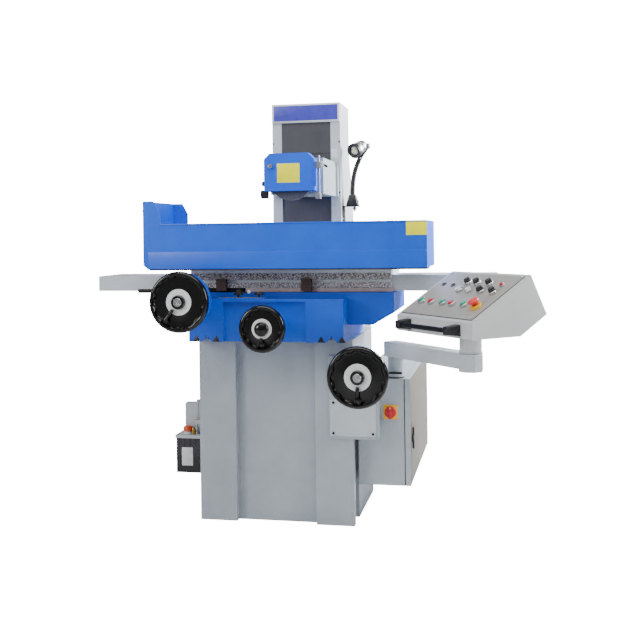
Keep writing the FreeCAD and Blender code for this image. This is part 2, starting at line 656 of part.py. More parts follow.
body_out = [("0", "0"), ("con_d1", "con_z1"), ("con_d2", "con_z2"), ("con_d3", "-con_h"),
            ("0", "-con_h")]
body_in = [("con_t", "-con_t-1"), ("con_d1-1", "con_z1-3*con_t"), ("con_d2-2*con_t", "con_z2"),
           ("con_d3-con_t", "-con_h+con_t"), ("con_t", "-con_h+con_t")]
shell = side_slab(body_out, "-con_w", "con_w")
room = side_slab(body_in, "-con_w+con_t", "con_w-2*con_t")
window_l = "con_w-2*panel_in"
window = box(0, 0, 0, window_l, FACE_L + "-2*panel_in", "2*window_h")
rise = "panel_in*sin({0})-window_h*cos({0})".format(SLOPE)
depth = "panel_in*cos({0})+window_h*sin({0})".format(SLOPE)
bind(window, "Placement", "placement(vector(-con_w+panel_in;" + depth + ";" + rise
     + ");rotation(0;0;" + SLOPE + "))")
body = doc.addObject("Part::Cut", "body")
body.Base = shell
body.Tool = join([room, window])
console_turn(body)
neck = rod("piv_x", "-piv_y", "arm_z1+gap", "neck_r", "con_z-con_h-arm_z1-gap+1")
neck_bore = rod("piv_x", "-piv_y", "arm_z1", "stud_r+spin_gap", "con_z-con_h-arm_z1+8")
node("console_body", [body, neck], [neck_bore])

KEYS = [("table_start", "col_1", "row_1"), ("table_stop", "col_2", "row_1"),
        ("wheel_start", "col_3", "row_1"), ("wheel_stop", "col_4", "row_1"),
        ("pump_start", "col_5", "row_1"), ("head_up", "col_3", "row_2"),
        ("head_down", "col_4", "row_2")]
SELECTORS = [("table_mode_selector", "col_5", "row_2"), ("magnet_selector", "col_6", "row_2"),
             ("feed_selector", "col_3", "row_3"), ("coolant_selector", "col_4", "row_3"),
             ("lamp_selector", "col_5", "row_3")]
panel_u0 = "panel_in-panel_lap-con_w"
panel = box(panel_u0, "panel_in-panel_lap", "0", "con_w-2*panel_in+2*panel_lap",
            FACE_L + "-2*panel_in+2*panel_lap", "panel_t")
rings = []
holes = []
for name, u, v in KEYS + SELECTORS:
    rings.append(rod("panel_in+{}-con_w".format(u), v, "panel_t-1", "bezel_r", "bezel_h+1"))
    holes.append(rod("panel_in+{}-con_w".format(u), v, "-1", "key_r+gap", "panel_t+bezel_h+2"))
stop_x = "panel_in+col_6-con_w"
rings.append(rod(stop_x, "row_1", "panel_t-1", "stop_r", "bezel_h+1"))
holes.append(rod(stop_x, "row_1", "-1", "key_r+gap", "panel_t+bezel_h+2"))
rings.append(box("panel_in+col_6-bezel_r/2-con_w", "row_3-bezel_r/2", "panel_t-1", "bezel_r",
                 "bezel_r", "bezel_h+1"))
face_turn(node("console_panel", [panel] + rings, holes))
for name, u, v in KEYS:
    x = "panel_in+{}-con_w".format(u)
    face_turn(group(name + "_button", [rod(x, v, "-key_in", "key_r", "key_in+panel_t+key_h")]))
for name, u, v in SELECTORS:
    x = "panel_in+{}-con_w".format(u)
    top = "panel_t+bezel_h+gap"
    face_turn(node(name, [rod(x, v, "-key_in", "key_r", "key_in+" + top + "+1"),
                          rod(x, v, top, "bezel_r-1", "knob_h"),
                          box(x + "-grip_w/2", v + "-grip_l/2", top + "+knob_h-1", "grip_w",
                              "grip_l", "grip_h+1")]))
face_turn(node("emergency_stop", [rod(stop_x, "row_1", "-key_in", "key_r",
                                      "key_in+panel_t+stop_up"),
                                  rod(stop_x, "row_1", "panel_t+stop_up-1", "stop_r",
                                      "stop_h+1")]))
rail_x0 = "-con_w/2-rail_l/2"
rail_z = "-con_h/2-rail_block/2"
console_turn(node("console_handle", [
    rod(rail_x0, "-rail_off", "-con_h/2", "rail_r", "rail_l", TO_X),
    box(rail_x0, "-rail_off-rail_r", rail_z, "rail_block", "rail_off+rail_r", "rail_block"),
    box(rail_x0 + "+rail_l-rail_block", "-rail_off-rail_r", rail_z, "rail_block",
        "rail_off+rail_r", "rail_block")]))

# ---------------------------------------------------------------- work lamp
lamp_pad = box("col_w/2", "lamp_y-lamp_w/2", "lamp_z", "lamp_x-col_w/2", "lamp_w", "lamp_h")
lamp_shelf = box("lamp_x-1", "lamp_y-lamp_w/2", "lamp_z+lamp_h-6", "lamp_w+11", "lamp_w", "6")
lamp_block = box("neck_x-lamp_w/2", "lamp_y-lamp_w/2", "lamp_z+lamp_h-1", "lamp_w", "lamp_w",
                 "lamp_base_h+1")
node("lamp_bracket", [lamp_pad, lamp_shelf, lamp_block])
goose_foot = "lamp_z+lamp_h+lamp_base_h"
lean_len = "sqrt((goose_x-neck_x)^2+(goose_z-goose_mid)^2)"
lean = rod("neck_x", "lamp_y", "goose_mid", "goose_r", lean_len)
lean_at = "vector(neck_x;lamp_y;goose_mid)"
lean_turn = "rotation(0;atan((goose_x-neck_x)/(goose_z-goose_mid));0)"
bind(lean, "Placement", "placement(" + lean_at + ";" + lean_turn + ")")
bends = []
for x, z in (("neck_x", "goose_mid"), ("goose_x", "goose_z")):
    bend = doc.addObject("Part::Sphere", "bend")
    bind(bend, "Radius", "goose_r")
    place(bend, x, "lamp_y", z)
    bends.append(bend)
lower_neck = rod("neck_x", "lamp_y", goose_foot, "goose_r", "goose_mid-(" + goose_foot + ")")
upper_neck = rod("goose_x", "lamp_y", "goose_z", "goose_r", "goose_top")
seat = rod("goose_x", "lamp_y", "goose_z+goose_top-collar_h-8", "collar_r", "6")
node("lamp_neck", [lower_neck, lean, upper_neck, seat] + bends)
collar_z = "goose_z+goose_top-collar_h-2+gap"
lamp_collar = rod("goose_x", "lamp_y", collar_z, "collar_r", "collar_h")
lamp_arm = box("goose_x-head_off", "lamp_y-collar_r*0.7", collar_z, "head_off", "collar_r*1.4", "collar_h")
lamp_drum = rod("goose_x-head_off", "lamp_y-head_t-10", collar_z + "+collar_h/2-10", "head_r",
                "head_t+10", TO_Y)
node("lamp_head", [lamp_collar, lamp_arm, lamp_drum],
     [rod("goose_x", "lamp_y", "goose_z", "goose_r+spin_gap", "2*goose_top")])

# ---------------------------------------------------------------- lubricator
tank = box("-tank_x", "-tank_y", "tank_z0", "tank_w", "tank_d", "tank_z1-tank_z0")
tank_room = box("tank_t-tank_x", "tank_t-tank_y", "tank_z0+tank_t", "tank_w-2*tank_t",
                "tank_d-2*tank_t", "tank_z1-tank_z0")
node("oil_tank", [tank], [tank_room])
lid = box("-tank_x-4", "-tank_y-4", "tank_z1", "tank_w+8", "tank_d+8", "lid_h")
pump = box("-tank_x+tank_w-pump_w", "-tank_y+tank_d-pump_d-3", "tank_z1+lid_h-1", "pump_w", "pump_d",
           "pump_h+1")
filler_y = "-tank_y+cap_r+7"
filler = rod("-cap_x", filler_y, "tank_z1+lid_h-1", "cap_r*0.8", "neck_h+1")
hanger = box("-tank_x+tank_w-1", "-tank_y+tank_d-pump_d", "tank_z1+lid_h+20",
             "tank_x-tank_w-base_w/2+1", "pump_d-6", "pump_h-30")
node("lubricator_pump", [lid, pump, filler, hanger])
node("filler_cap", [rod("-cap_x", filler_y, "tank_z1+lid_h+neck_h+gap", "cap_r", "cap_hh")])

# ---------------------------------------------------------------- saddle
low = "base_h+gap"
apron = box("-sad_l", "-sad_front", low, "sad_l+sad_r", "sad_front-sad_back", "apron_top-(" + low + ")")
bed_points = [("-wing_x", "wing_low"), ("-wing_in", "wing_under"), ("wing_in", "wing_under"),
              ("wing_x", "wing_low"), ("wing_x", "wing_top"), ("-wing_x", "wing_top")]
bed = front_slab(bed_points, "-wing_front", "wing_front-sad_back-20")
bed_ways = []
for offset in ("-tway_y-tway_off", "-tway_y+tway_off"):
    bed_ways.append(side_slab(vee(offset, "tway_half", "wing_top", "-way_sink"), "1-wing_x",
                              "2*wing_x-2"))
notches = []
for side in ("-way_x", "way_x"):
    notches.append(front_slab(vee(side, "way_half+2*vee_gap", "base_h", "-way_sink-vee_gap"),
                              "-sad_front-1", "sad_front-sad_back+2"))
apron_cut = box("-apron_cut_l", "-sad_front-1", low + "-1", "apron_cut_l+apron_cut_r",
                "apron_cut_d+1", "apron_top-(" + low + ")-10")
cross_boss = rod("cw_x", "-ch_y0", "cw_z", "ch_r", "ch_y0-sad_front+apron_cut_d+1", TO_Y)
cross_bore = rod("cw_x", "-ch_y0-1", "cw_z", "shaft_r+spin_gap", "shaft_len_c", TO_Y)
body_saddle = doc.addObject("Part::Cut", "body_saddle")
body_saddle.Base = join([apron, bed] + bed_ways)
body_saddle.Tool = join(notches + [apron_cut])
valve_pad = box("-valve_l", "-sad_front", "apron_top-1", "valve_w", "valve_d", "valve_t+1")
node("saddle_casting", [body_saddle, cross_boss, valve_pad], [cross_bore])
housing = rod("-tw_x", "-th_y0", "tw_z", "th_r", "th_t", TO_Y)
housing_neck = rod("-tw_x", "-th_y0+th_t-1", "tw_z", "th_neck", "th_y0-th_t-sad_front+1", TO_Y)
housing_bore = rod("-tw_x", "-th_y0-1", "tw_z", "shaft_r+spin_gap", "shaft_len+10", TO_Y)
node("table_wheel_housing", [housing, housing_neck], [housing_bore])
stem_z = "apron_top+valve_t+gap"
node("reversing_lever", [rod("-rev_x", "-rev_y", stem_z, "rev_r*1.6", "rev_h/2"),
                         rod("-rev_x", "-rev_y", stem_z, "rev_r", "rev_h"),
                         rod("-rev_x-rev_l/2", "-rev_y", stem_z + "+rev_h*0.7", "rev_r*0.6", "rev_l",
                             TO_X)])
node("flow_knob", [rod("-flow_x", "-rev_y", stem_z, "flow_r", "flow_h")])

# ---------------------------------------------------------------- table
slab_table = box("-tab_l", "-tab_front", "tab_low", "tab_l+tab_r", "tab_front-tab_back",
                 "tab_top-tab_low")
dog_neck = box("-tab_l-1", "-tab_front-1", "dog_slot_z", "tab_l+tab_r+2", "dog_slot_d+2",
               "dog_slot_h")
dog_tee = box("-tab_l-1", "-tab_front+dog_slot_d", "dog_slot_z-(tee_h-dog_slot_h)/2",
              "tab_l+tab_r+2", "tee_d", "tee_h")
top_neck = box("-tab_l-1", "-tway_y-tslot_w/2", "tab_top-tslot_d", "tab_l+tab_r+2", "tslot_w",
               "tslot_d+1")
top_tee = box("-tab_l-1", "-tway_y-tslot_in/2", "tab_top-2*tslot_d", "tab_l+tab_r+2", "tslot_in",
              "tslot_d+1")
grooves = []
for offset in ("-tway_y-tway_off", "-tway_y+tway_off"):
    grooves.append(side_slab(vee(offset, "tway_half+2*vee_gap", "wing_top", "-way_sink-vee_gap"),
                             "-tab_l-1", "tab_l+tab_r+2"))
node("table_casting", [slab_table], [dog_neck, dog_tee, top_neck, top_tee] + grooves)

hoods = []
for start in ("-tab_l-cover_len", "tab_r"):
    hood = doc.addObject("Part::Cut", "hood")
    hood.Base = box(start, "-cover_y0", "cover_z0", "cover_len", "cover_w", "cover_z1-cover_z0")
    hood.Tool = box(start + "-1", "-cover_y0+sheet", "cover_z0-1", "cover_len+2", "cover_w-2*sheet",
                    "cover_z1-cover_z0-sheet+1")
    hoods.append(hood)
group("way_covers", hoods)

for name, centre in (("table_dog_left", "-dog_l_x"), ("table_dog_right", "dog_r_x")):
    node(name, [box(centre + "-dog_w/2", "-tab_front-gap-dog_d", "dog_z", "dog_w", "dog_d", "dog_h"),
                box(centre + "-tee_nut_w/2", "-tab_front-1", "dog_slot_z+gap", "tee_nut_w",
                    "dog_slot_d+3", "dog_slot_h-2*gap"),
                box(centre + "-tee_nut_w/2", "-tab_front+dog_slot_d+gap",
                    "dog_slot_z+dog_slot_h/2-tee_nut_h/2", "tee_nut_w", "tee_d-2*gap",
                    "tee_nut_h")])

node("magnetic_chuck", [box("-chuck_x", "-tway_y-chuck_w/2", "tab_top", "chuck_len", "chuck_w",
                            "chuck_h"),
                        box("-chuck_x-chuck_lug", "-tway_y-chuck_w/2", "tab_top",
                            "chuck_len+2*chuck_lug", "chuck_w", "chuck_lug_h")])

# ---------------------------------------------------------------- splash guard
front_points = [("-sg_l", "sg_cut_z"), ("-sg_cut_x", "tab_top"), ("sg_r", "tab_top"),
                ("sg_r", "sg_top"), ("-sg_foot", "sg_top"), ("-sg_knee_x", "sg_knee_z"),
                ("-sg_post", "sg_tall"), ("-sg_l", "sg_tall")]
sg_face = front_slab(front_points, "-sg_front", "sheet")
sg_tray = box("-sg_cut_x", "-sg_front", "tab_top", "sg_cut_x+sg_r", "sg_front-tab_front+tray_lap",
              "sheet")
sg_left = box("-sg_l", "-sg_front", "sg_cut_z", "sheet", "sg_front-sg_back", "sg_tall-sg_cut_z")
sg_right = box("sg_r-sheet", "-sg_front", "tab_top", "sheet", "sg_front-sg_back",
               "sg_top-tab_top")
return_points = [("-sg_l", "sg_cut_z"), ("-sg_knee_x", "sg_cut_z"), ("-sg_knee_x", "sg_knee_z"),
                 ("-sg_post", "sg_tall"), ("-sg_l", "sg_tall")]
sg_return = front_slab(return_points, "-sg_back-sheet", "sheet")
node("splash_guard", [sg_face, sg_tray, sg_left, sg_right, sg_return])

# ---------------------------------------------------------------- wheel head
spindle_box = box("-box_l", "-box_front", "box_z0", "box_l+box_r", "box_front+col_front-gap-plate_t+1",
                  "box_z1-box_z0")
slide_plate = box("-plate_x", "col_front-gap-plate_t", "box_z0", "2*plate_x", "plate_t",
                  "box_z1-box_z0")
carriage = box("-slot_w/2+gap", "col_front-gap-1", "car_z0", "slot_w-2*gap",
               "car_back-col_front+gap+1", "car_z1-car_z0")
bearing = rod("wheel_x", "-box_front-1", "wheel_z", "spin_r", "spin_len+2", TO_Y)
node("head_casting", [spindle_box, slide_plate, carriage], [bearing])
upper_y = "col_front+cover_back+2*cover_step"
upper = box("-slot_w/2+gap", upper_y, "car_z1", "slot_w-2*gap", "cover_t", "cover_h")
lower = box("-slot_w/2+gap", upper_y, "car_z0-skirt_h", "slot_w-2*gap", "cover_t", "skirt_h")
group("head_covers", [upper, lower])

nose_y = "-wheel_y-wheel_w/2-flange_t-nut_t"
spindle_rod = rod("wheel_x", "-box_front+1", "wheel_z", "spin_r-spin_gap", "spin_len-10", TO_Y)
nose = rod("wheel_x", "-wheel_y+wheel_w/2", "wheel_z", "nose_r", "wheel_y-wheel_w/2-box_front+2",
           TO_Y)
stub = rod("wheel_x", nose_y, "wheel_z", "wheel_bore-spin_gap", "nut_t+flange_t+wheel_w+2", TO_Y)
back_flange = rod("wheel_x", "-wheel_y+wheel_w/2", "wheel_z", "flange_r", "flange_t", TO_Y)
node("spindle", [spindle_rod, nose, stub, back_flange])
node("grinding_wheel", [rod("wheel_x", "-wheel_y-wheel_w/2", "wheel_z", "wheel_r", "wheel_w", TO_Y)],
     [rod("wheel_x", "-wheel_y-wheel_w", "wheel_z", "wheel_bore", "2*wheel_w", TO_Y)])
node("wheel_flange", [rod("wheel_x", "-wheel_y-wheel_w/2-flange_t", "wheel_z", "flange_r", "flange_t",
                          TO_Y),
                      rod("wheel_x", nose_y, "wheel_z", "nut_r", "nut_t+1", TO_Y)],
     [rod("wheel_x", nose_y + "-1", "wheel_z", "wheel_bore", "nut_t+flange_t+2", TO_Y)])


def guard_points(inset):
    left = "-g_l+{}".format(inset)
    right = "g_r-{}".format(inset)
    top = "g_z1-{}".format(inset)
    return [(left, "g_z0"), (right, "g_z0"), (right, "g_z1-g_cut_r"),
            ("g_r-g_cut_r", top), ("-g_l+g_cut_l", top), (left, "g_z1-g_cut_l")]


guard_skin = front_slab(guard_points("0"), "-g_front+g_t+gap", "g_front-box_front-g_t-gap")
guard_room = front_slab([(x, z + "-1") if z == "g_z0" else (x, z) for x, z in guard_points("g_t")],
                        "-g_front+g_t-1", "g_front-box_front-2*g_t+1")
guard_hole = rod("wheel_x", "-box_front-2*g_t", "wheel_z", "flange_r+4", "3*g_t", TO_Y)
gh_x = "g_r+g_hinge_r+gap"
gh_y = "-g_front"
guard_hinge = []
for z in ("g_z0+20", "g_z0+20+2*g_hinge_h+2*gap"):
    guard_hinge.append(rod(gh_x, gh_y, z, "g_hinge_r", "g_hinge_h"))
    guard_hinge.append(box("g_r-1", gh_y + "+g_t+gap", z, "g_hinge_r+gap+1", "g_t+2", "g_hinge_h"))
guard_pin = rod(gh_x, gh_y, "g_z0+20", "pin_r", "3*g_hinge_h+2*gap")
node("wheel_guard", [guard_skin, guard_pin] + guard_hinge, [guard_room, guard_hole])
door_skin = front_slab(guard_points("0"), "-g_front", "g_t")
mid_z = "g_z0+20+g_hinge_h+gap"
door_barrel = rod(gh_x, gh_y, mid_z, "g_hinge_r", "g_hinge_h")
door_leaf = box("g_r-2", "-g_front", mid_z, "g_hinge_r+gap+2", "g_t", "g_hinge_h")
knob = rod("-knob_x", "-g_front-knob_l", "knob_z", "knob_r", "knob_l+1", TO_Y)
node("guard_door", [door_skin, door_barrel, door_leaf, knob],
     [rod(gh_x, gh_y, "g_z0", "pin_r+spin_gap", "5*g_hinge_h")])

cool_y = "-g_front+g_t+10"
node("coolant_nozzle", [box("g_r", cool_y, "cool_z", "cool_w", "cool_d", "cool_h"),
                        rod("g_r+cool_w-2*pipe_r", cool_y + "+cool_d/2", "pipe_z", "pipe_r",
                            "pipe_top-pipe_z"),
                        box("g_r+2", cool_y, "pipe_z-jet_h", "jet_w", "cool_d", "jet_h")])

# ---------------------------------------------------------------- handwheels
WHEEL_SIDE = {"tw": "-1", "cw": "1", "vw": "1"}


def handwheel(name, key, shaft):
    """A dished wheel with its shaft, and its folding handle on a cross pin."""
    rim = key + "_r"
    web_edge = rim + "-rim_w"
    profile = [("0", "-hub_front"), ("hub_r", "-hub_front"), ("hub_r", "-web_front"),
               (web_edge, "-web_rim"), (rim + "-rim_w+4", "2-rim_front"),
               (rim + "-rim_round", "-rim_front"), (rim, "rim_round-rim_front"),
               (rim, "rim_back-rim_round"), (rim + "-rim_round", "rim_back"),
               (web_edge, "web_back+1"), ("hub_r", "-web_back"), ("hub_r", "hub_back"),
               ("shaft_r", "hub_back"), ("shaft_r", shaft), ("0", shaft)]
    turned = doc.addObject("Part::Revolution", "turned")
    turned.Source = outline(profile, TO_Z)
    turned.Axis = Vector(0, 1, 0)
    turned.Angle = 360
    turned.Solid = True
    pin_x = rim + "-lug_off"
    lugs = []
    for z in ("grip_r+gap", "-grip_r-gap-lug_t"):
        lugs.append(box(pin_x + "-lug_w/2", "-lug_y-lug_t", z, "lug_w", "lug_y+lug_t-web_rim/2", "lug_t"))
    pin_hole = rod(pin_x, "-lug_y", "-pin_len", "pin_r+spin_gap", "2*pin_len")
    wheel_turn(node(name, [turned] + lugs, [pin_hole]), key)
    grip = rod("grip_end", "-lug_y", "0", "grip_r", pin_x + "+grip_over-grip_end", TO_X)
    pin = rod(pin_x, "-lug_y", "-pin_len/2", "pin_r", "pin_len")
    wheel_turn(node(name + "_grip", [grip, pin]), key)


handwheel("table_handwheel", "tw", "shaft_len")
handwheel("cross_handwheel", "cw", "shaft_len_c")
handwheel("head_handwheel", "vw", "shaft_len")

# ---------------------------------------------------------------- check and export
doc.recompute()
bad = [thing.Label for thing in doc.Objects if "Invalid" in thing.State or "Error" in thing.State]
for piece in NODES:
    shape = piece.Shape
    if shape.isNull() or not shape.isValid() or not shape.Solids:
        bad.append(piece.Label)
if bad:
    raise SystemExit("not built: " + ", ".join(bad))
for piece in NODES:
    piece.Shape.exportStep(os.path.join("parts", piece.Label + ".step"))
print("nodes", len(NODES))
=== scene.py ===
# %% [markdown]
# A surface grinder in Blender. The machine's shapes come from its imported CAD
# frame, which stays where it is. This lesson gives those castings their paint
# and metal, and models the smaller things by hand on top of them: handwheels,
# buttons, screws, labels and the lamp. Everything is in metres.

# %% Load the frame
import math
from contextlib import contextmanager

import bmesh
import bpy
from mathutils import Matrix, Vector


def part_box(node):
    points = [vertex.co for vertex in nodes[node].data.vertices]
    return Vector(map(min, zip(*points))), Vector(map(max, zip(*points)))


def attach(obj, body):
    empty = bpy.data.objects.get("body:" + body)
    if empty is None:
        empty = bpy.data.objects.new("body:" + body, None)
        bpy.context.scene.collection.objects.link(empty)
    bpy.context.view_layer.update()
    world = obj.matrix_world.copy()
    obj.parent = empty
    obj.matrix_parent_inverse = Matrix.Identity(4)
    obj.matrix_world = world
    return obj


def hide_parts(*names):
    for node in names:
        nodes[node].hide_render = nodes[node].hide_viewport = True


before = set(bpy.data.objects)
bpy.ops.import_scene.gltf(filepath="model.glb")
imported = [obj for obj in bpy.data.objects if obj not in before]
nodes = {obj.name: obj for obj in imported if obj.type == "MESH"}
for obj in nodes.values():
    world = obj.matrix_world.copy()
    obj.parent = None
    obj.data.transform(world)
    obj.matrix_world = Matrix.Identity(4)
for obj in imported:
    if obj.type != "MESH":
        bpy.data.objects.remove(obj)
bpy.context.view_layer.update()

MM = 0.001

# %% [markdown]
# The camera stands where a person would, to the right of the middle and at
# chest height, turned a little to the left. A longish lens keeps the upright
# edges nearly parallel, and a shift takes in the foot without tilting it.

# %% Camera
CAMERA_PLACE = Vector((0.970, -4.393, 1.201))
LENS_MM, SENSOR_MM = 53.25, 36
LENS_SHIFT = (0.0017, -0.1417)
yaw, pitch, roll = (math.radians(a) for a in (11.39, 0.32, -0.74))
ahead = Vector((-math.sin(yaw) * math.cos(pitch), math.cos(yaw) * math.cos(pitch), math.sin(pitch)))
level = Vector((math.cos(yaw), math.sin(yaw), 0))
upward = level.cross(ahead)
right = math.cos(roll) * level + math.sin(roll) * upward
top = -math.sin(roll) * level + math.cos(roll) * upward
lens = bpy.data.cameras.new("camera")
camera = bpy.data.objects.new("camera", lens)
bpy.context.scene.collection.objects.link(camera)
facing = Matrix((right, top, -ahead)).transposed().to_4x4()
camera.matrix_world = Matrix.Translation(CAMERA_PLACE) @ facing
lens.lens = LENS_MM
lens.sensor_width = SENSOR_MM
lens.shift_x, lens.shift_y = LENS_SHIFT
bpy.context.scene.camera = camera
print("camera at", tuple(CAMERA_PLACE), "lens", lens.lens)

# %% [markdown]
# Colours are written as the hex numbers a painter's screen shows. Blender
# works in linear light, so one function turns a hex number into that.
# A second small function adds a shader node with its settings and its links,
# and every material below is built with it. Patterns are noise at a real size.

# %% Colour and node helpers
def linear(hex_text):
    parts = [int(hex_text[i:i + 2], 16) / 255 for i in (1, 3, 5)]
    parts = [c / 12.92 if c <= 0.04045 else ((c + 0.055) / 1.055) ** 2.4 for c in parts]
    return (*parts, 1.0)


def put(tree, kind, settings=None, links=None):
    """Add one node. Settings are its own properties or the values of its sockets."""
    node = tree.nodes.new("ShaderNode" + kind)
    for key, value in (settings or {}).items():
        if key == "stops":
            for element, (at, colour) in zip(node.color_ramp.elements, value):
                element.position, element.color = at, colour
        elif isinstance(key, str) and hasattr(node, key):
            setattr(node, key, value)
        else:
            node.inputs[key].default_value = value
    for key, source in (links or {}).items():
        tree.links.new(source, node.inputs[key])
    return node


def material(name, roughness, metallic=0.0, **more):
    """A new material with a Principled shader and Object coordinates, ready for its pattern."""
    made = bpy.data.materials.new(name)
    made.use_nodes = True
    tree = made.node_tree
    tree.nodes.clear()
    shader = put(tree, "BsdfPrincipled", {"Roughness": roughness, "Metallic": metallic, **more})
    put(tree, "OutputMaterial", links={"Surface": shader.outputs[0]})
    place = put(tree, "TexCoord").outputs["Object"]
    return made, tree, shader, place


def pattern(tree, place, size_mm, stretch=(1, 1, 1), detail=3.0, rough=0.55):
    """Noise whose features are about size_mm across, longer along the axes with a small stretch."""
    stretched = put(tree, "Mapping", {"Scale": stretch}, {"Vector": place}).outputs[0]
    noise = put(tree, "TexNoise", {"Scale": 1 / (size_mm * MM), "Detail": detail,
                                   "Roughness": rough}, {"Vector": stretched})
    return noise.outputs["Fac"]


def stops(low, high, start=0.3, end=0.7):
    """Settings of a ramp: low up to start, high from end. Text is a colour, a number an amount."""
    return {"stops": [(at, linear(value) if isinstance(value, str) else (value, value, value, 1.0))
                      for at, value in ((start, low), (end, high))]}


print("helpers ready")

# %% [markdown]
# Most of the machine is enamel: a filler and two coats of gloss paint sprayed
# over castings and folded sheet. What tells the eye that it is paint is a soft
# highlight, a faint orange-peel skin with bumps of two or three millimetres,
# slow changes of tone where the coat is thicker, and rounded edges. A Bevel
# node rounds the light on the edges without touching the CAD mesh.

# %% Enamel paints
def enamel(name, low, high, roughness=0.42, peel_mm=2.6, peel_depth=0.05, edge_mm=2.5, coat=0.25):
    made, tree, shader, place = material(name, roughness,
                                         **{"Coat Weight": coat, "Coat Roughness": 0.2})
    tone = pattern(tree, place, 160, detail=4)
    colour = put(tree, "ValToRGB", stops(low, high), {"Fac": tone})
    gloss = put(tree, "ValToRGB", stops(roughness - 0.05, roughness + 0.07),
                {"Fac": pattern(tree, place, 45)})
    edge = put(tree, "Bevel", {"samples": 4, "Radius": edge_mm * MM}).outputs[0]
    peel = pattern(tree, place, peel_mm, detail=2)
    skin = put(tree, "Bump", {"Strength": 0.6, "Distance": peel_depth * MM},
               {"Height": peel, "Normal": edge})
    tree.links.new(colour.outputs[0], shader.inputs["Base Color"])
    tree.links.new(gloss.outputs[0], shader.inputs["Roughness"])
    tree.links.new(skin.outputs[0], shader.inputs["Normal"])
    return made


grey_enamel = enamel("sprayed_grey_enamel", "#9ba5ae", "#a8b1b9")
light_enamel = enamel("sprayed_light_grey_enamel", "#b9c0c6", "#c5cbd0")
blue_enamel = enamel("sprayed_blue_enamel", "#004dc4", "#0355d1", roughness=0.4, coat=0.15)
guard_blue = enamel("sprayed_guard_blue_enamel", "#0056d6", "#025ee0", roughness=0.4, coat=0.15,
                    edge_mm=1.5)
dark_enamel = enamel("satin_dark_grey_enamel", "#3c3c42", "#48484f", roughness=0.5, coat=0.1,
                     edge_mm=1)
# Pale grey enamel, made paler still as a painted highlight where the name board faces the top
# front.
pale_enamel_with_painted_highlight = enamel("pale_grey_enamel_brightened_as_highlight", "#dfe3e8", "#e8ebef", roughness=0.4)
# A console of folded sheet has a textured coat: coarser, flatter grains.
console_enamel = enamel("textured_console_enamel", "#b9bebf", "#c4c8c8", roughness=0.55,
                        peel_mm=1.6, peel_depth=0.12, coat=0.0)
print("paints", grey_enamel.name, blue_enamel.name)

# %% [markdown]
# Metals next. Ground steel shows fine lines along the way the grinding wheel
# passed, brushed aluminium shows longer hairs, raw cast iron has a coarse
# sandy skin with deep pits, and black oxide on screws is nearly matt.
# Every metal keeps the default index of refraction.

# %% Metals
def lined_metal(name, low, high, roughness, line_mm, stretch, depth=0.012, metallic=1.0):
    made, tree, shader, place = material(name, roughness, metallic=metallic)
    lines = pattern(tree, place, line_mm, stretch, detail=5, rough=0.7)
    colour = put(tree, "ValToRGB", stops(low, high, 0.25, 0.75), {"Fac": lines})
    gloss = put(tree, "ValToRGB", stops(roughness - 0.08, roughness + 0.12), {"Fac": lines})
    edge = put(tree, "Bevel", {"samples": 4, "Radius": 0.8 * MM}).outputs[0]
    skin = put(tree, "Bump", {"Strength": 0.5, "Distance": depth * MM},
               {"Height": lines, "Normal": edge})
    tree.links.new(colour.outputs[0], shader.inputs["Base Color"])
    tree.links.new(gloss.outputs[0], shader.inputs["Roughness"])
    tree.links.new(skin.outputs[0], shader.inputs["Normal"])
    return made


def cast_skin(name, low, high, grain_mm, depth, metallic=0.3, roughness=0.75):
    made, tree, shader, place = material(name, roughness, metallic=metallic)
    grain = pattern(tree, place, grain_mm, detail=5, rough=0.65)
    pits = put(tree, "TexVoronoi", {"Scale": 1 / (grain_mm * 1.4 * MM)},
               {"Vector": place}).outputs["Distance"]
    both = put(tree, "Math", {"operation": "MULTIPLY"}, {0: grain, 1: pits}).outputs[0]
    colour = put(tree, "ValToRGB", stops(low, high, 0.08, 0.4), {"Fac": both})
    skin = put(tree, "Bump", {"Strength": 0.9, "Distance": depth * MM}, {"Height": both})
    tree.links.new(colour.outputs[0], shader.inputs["Base Color"])
    tree.links.new(skin.outputs[0], shader.inputs["Normal"])
    return made


ground_steel = lined_metal("ground_steel", "#9b9fa3", "#c3c6c9", 0.28, 0.9, (0.03, 1, 1))
bright_steel = lined_metal("turned_bright_steel", "#b0b2b5", "#d2d4d6", 0.2, 0.6, (1, 0.1, 1))
brushed_aluminium = lined_metal("brushed_aluminium", "#a8aaa9", "#cfd0ce", 0.34, 0.8, (0.02, 1, 1))
panel_aluminium = lined_metal("brushed_grey_panel", "#9a9993", "#aeada6", 0.5, 1.1, (1, 0.02, 0.05),
                              metallic=0.25)
door_steel = lined_metal("brushed_door_steel", "#55534e", "#6b6862", 0.6, 1.4, (1, 1, 0.02),
                         metallic=0.1)
lamp_aluminium = lined_metal("cast_lamp_aluminium", "#8f9194", "#b9bbbd", 0.4, 3, (1, 1, 1))
brass = lined_metal("turned_brass", "#9c7a35", "#c9a55a", 0.3, 0.7, (1, 1, 0.1))
black_steel = cast_skin("black_oxide_steel", "#0c0c0d", "#1c1c1e", 0.8, 0.02, 0.5, 0.45)
dog_steel = cast_skin("brown_oxide_iron", "#33221f", "#58403a", 1.2, 0.04, 0.2, 0.6)
print("metals", ground_steel.name, brushed_aluminium.name)

# %% [markdown]
# The table is one casting with two finishes: its edge near the top was planed
# and painted pale, and the bands under it were left as they came out of the
# sand. Their colour is a dark grain whose near-white speckles are painted
# glints of bare metal. Object coordinates are metres on the machine, so the
# place itself can pick the finish: Math nodes compare Z with the height where
# the planed edge ends, and Y with the front face.

# %% Table casting
PLANED_EDGE_MM = 24
FACE_MM = 4


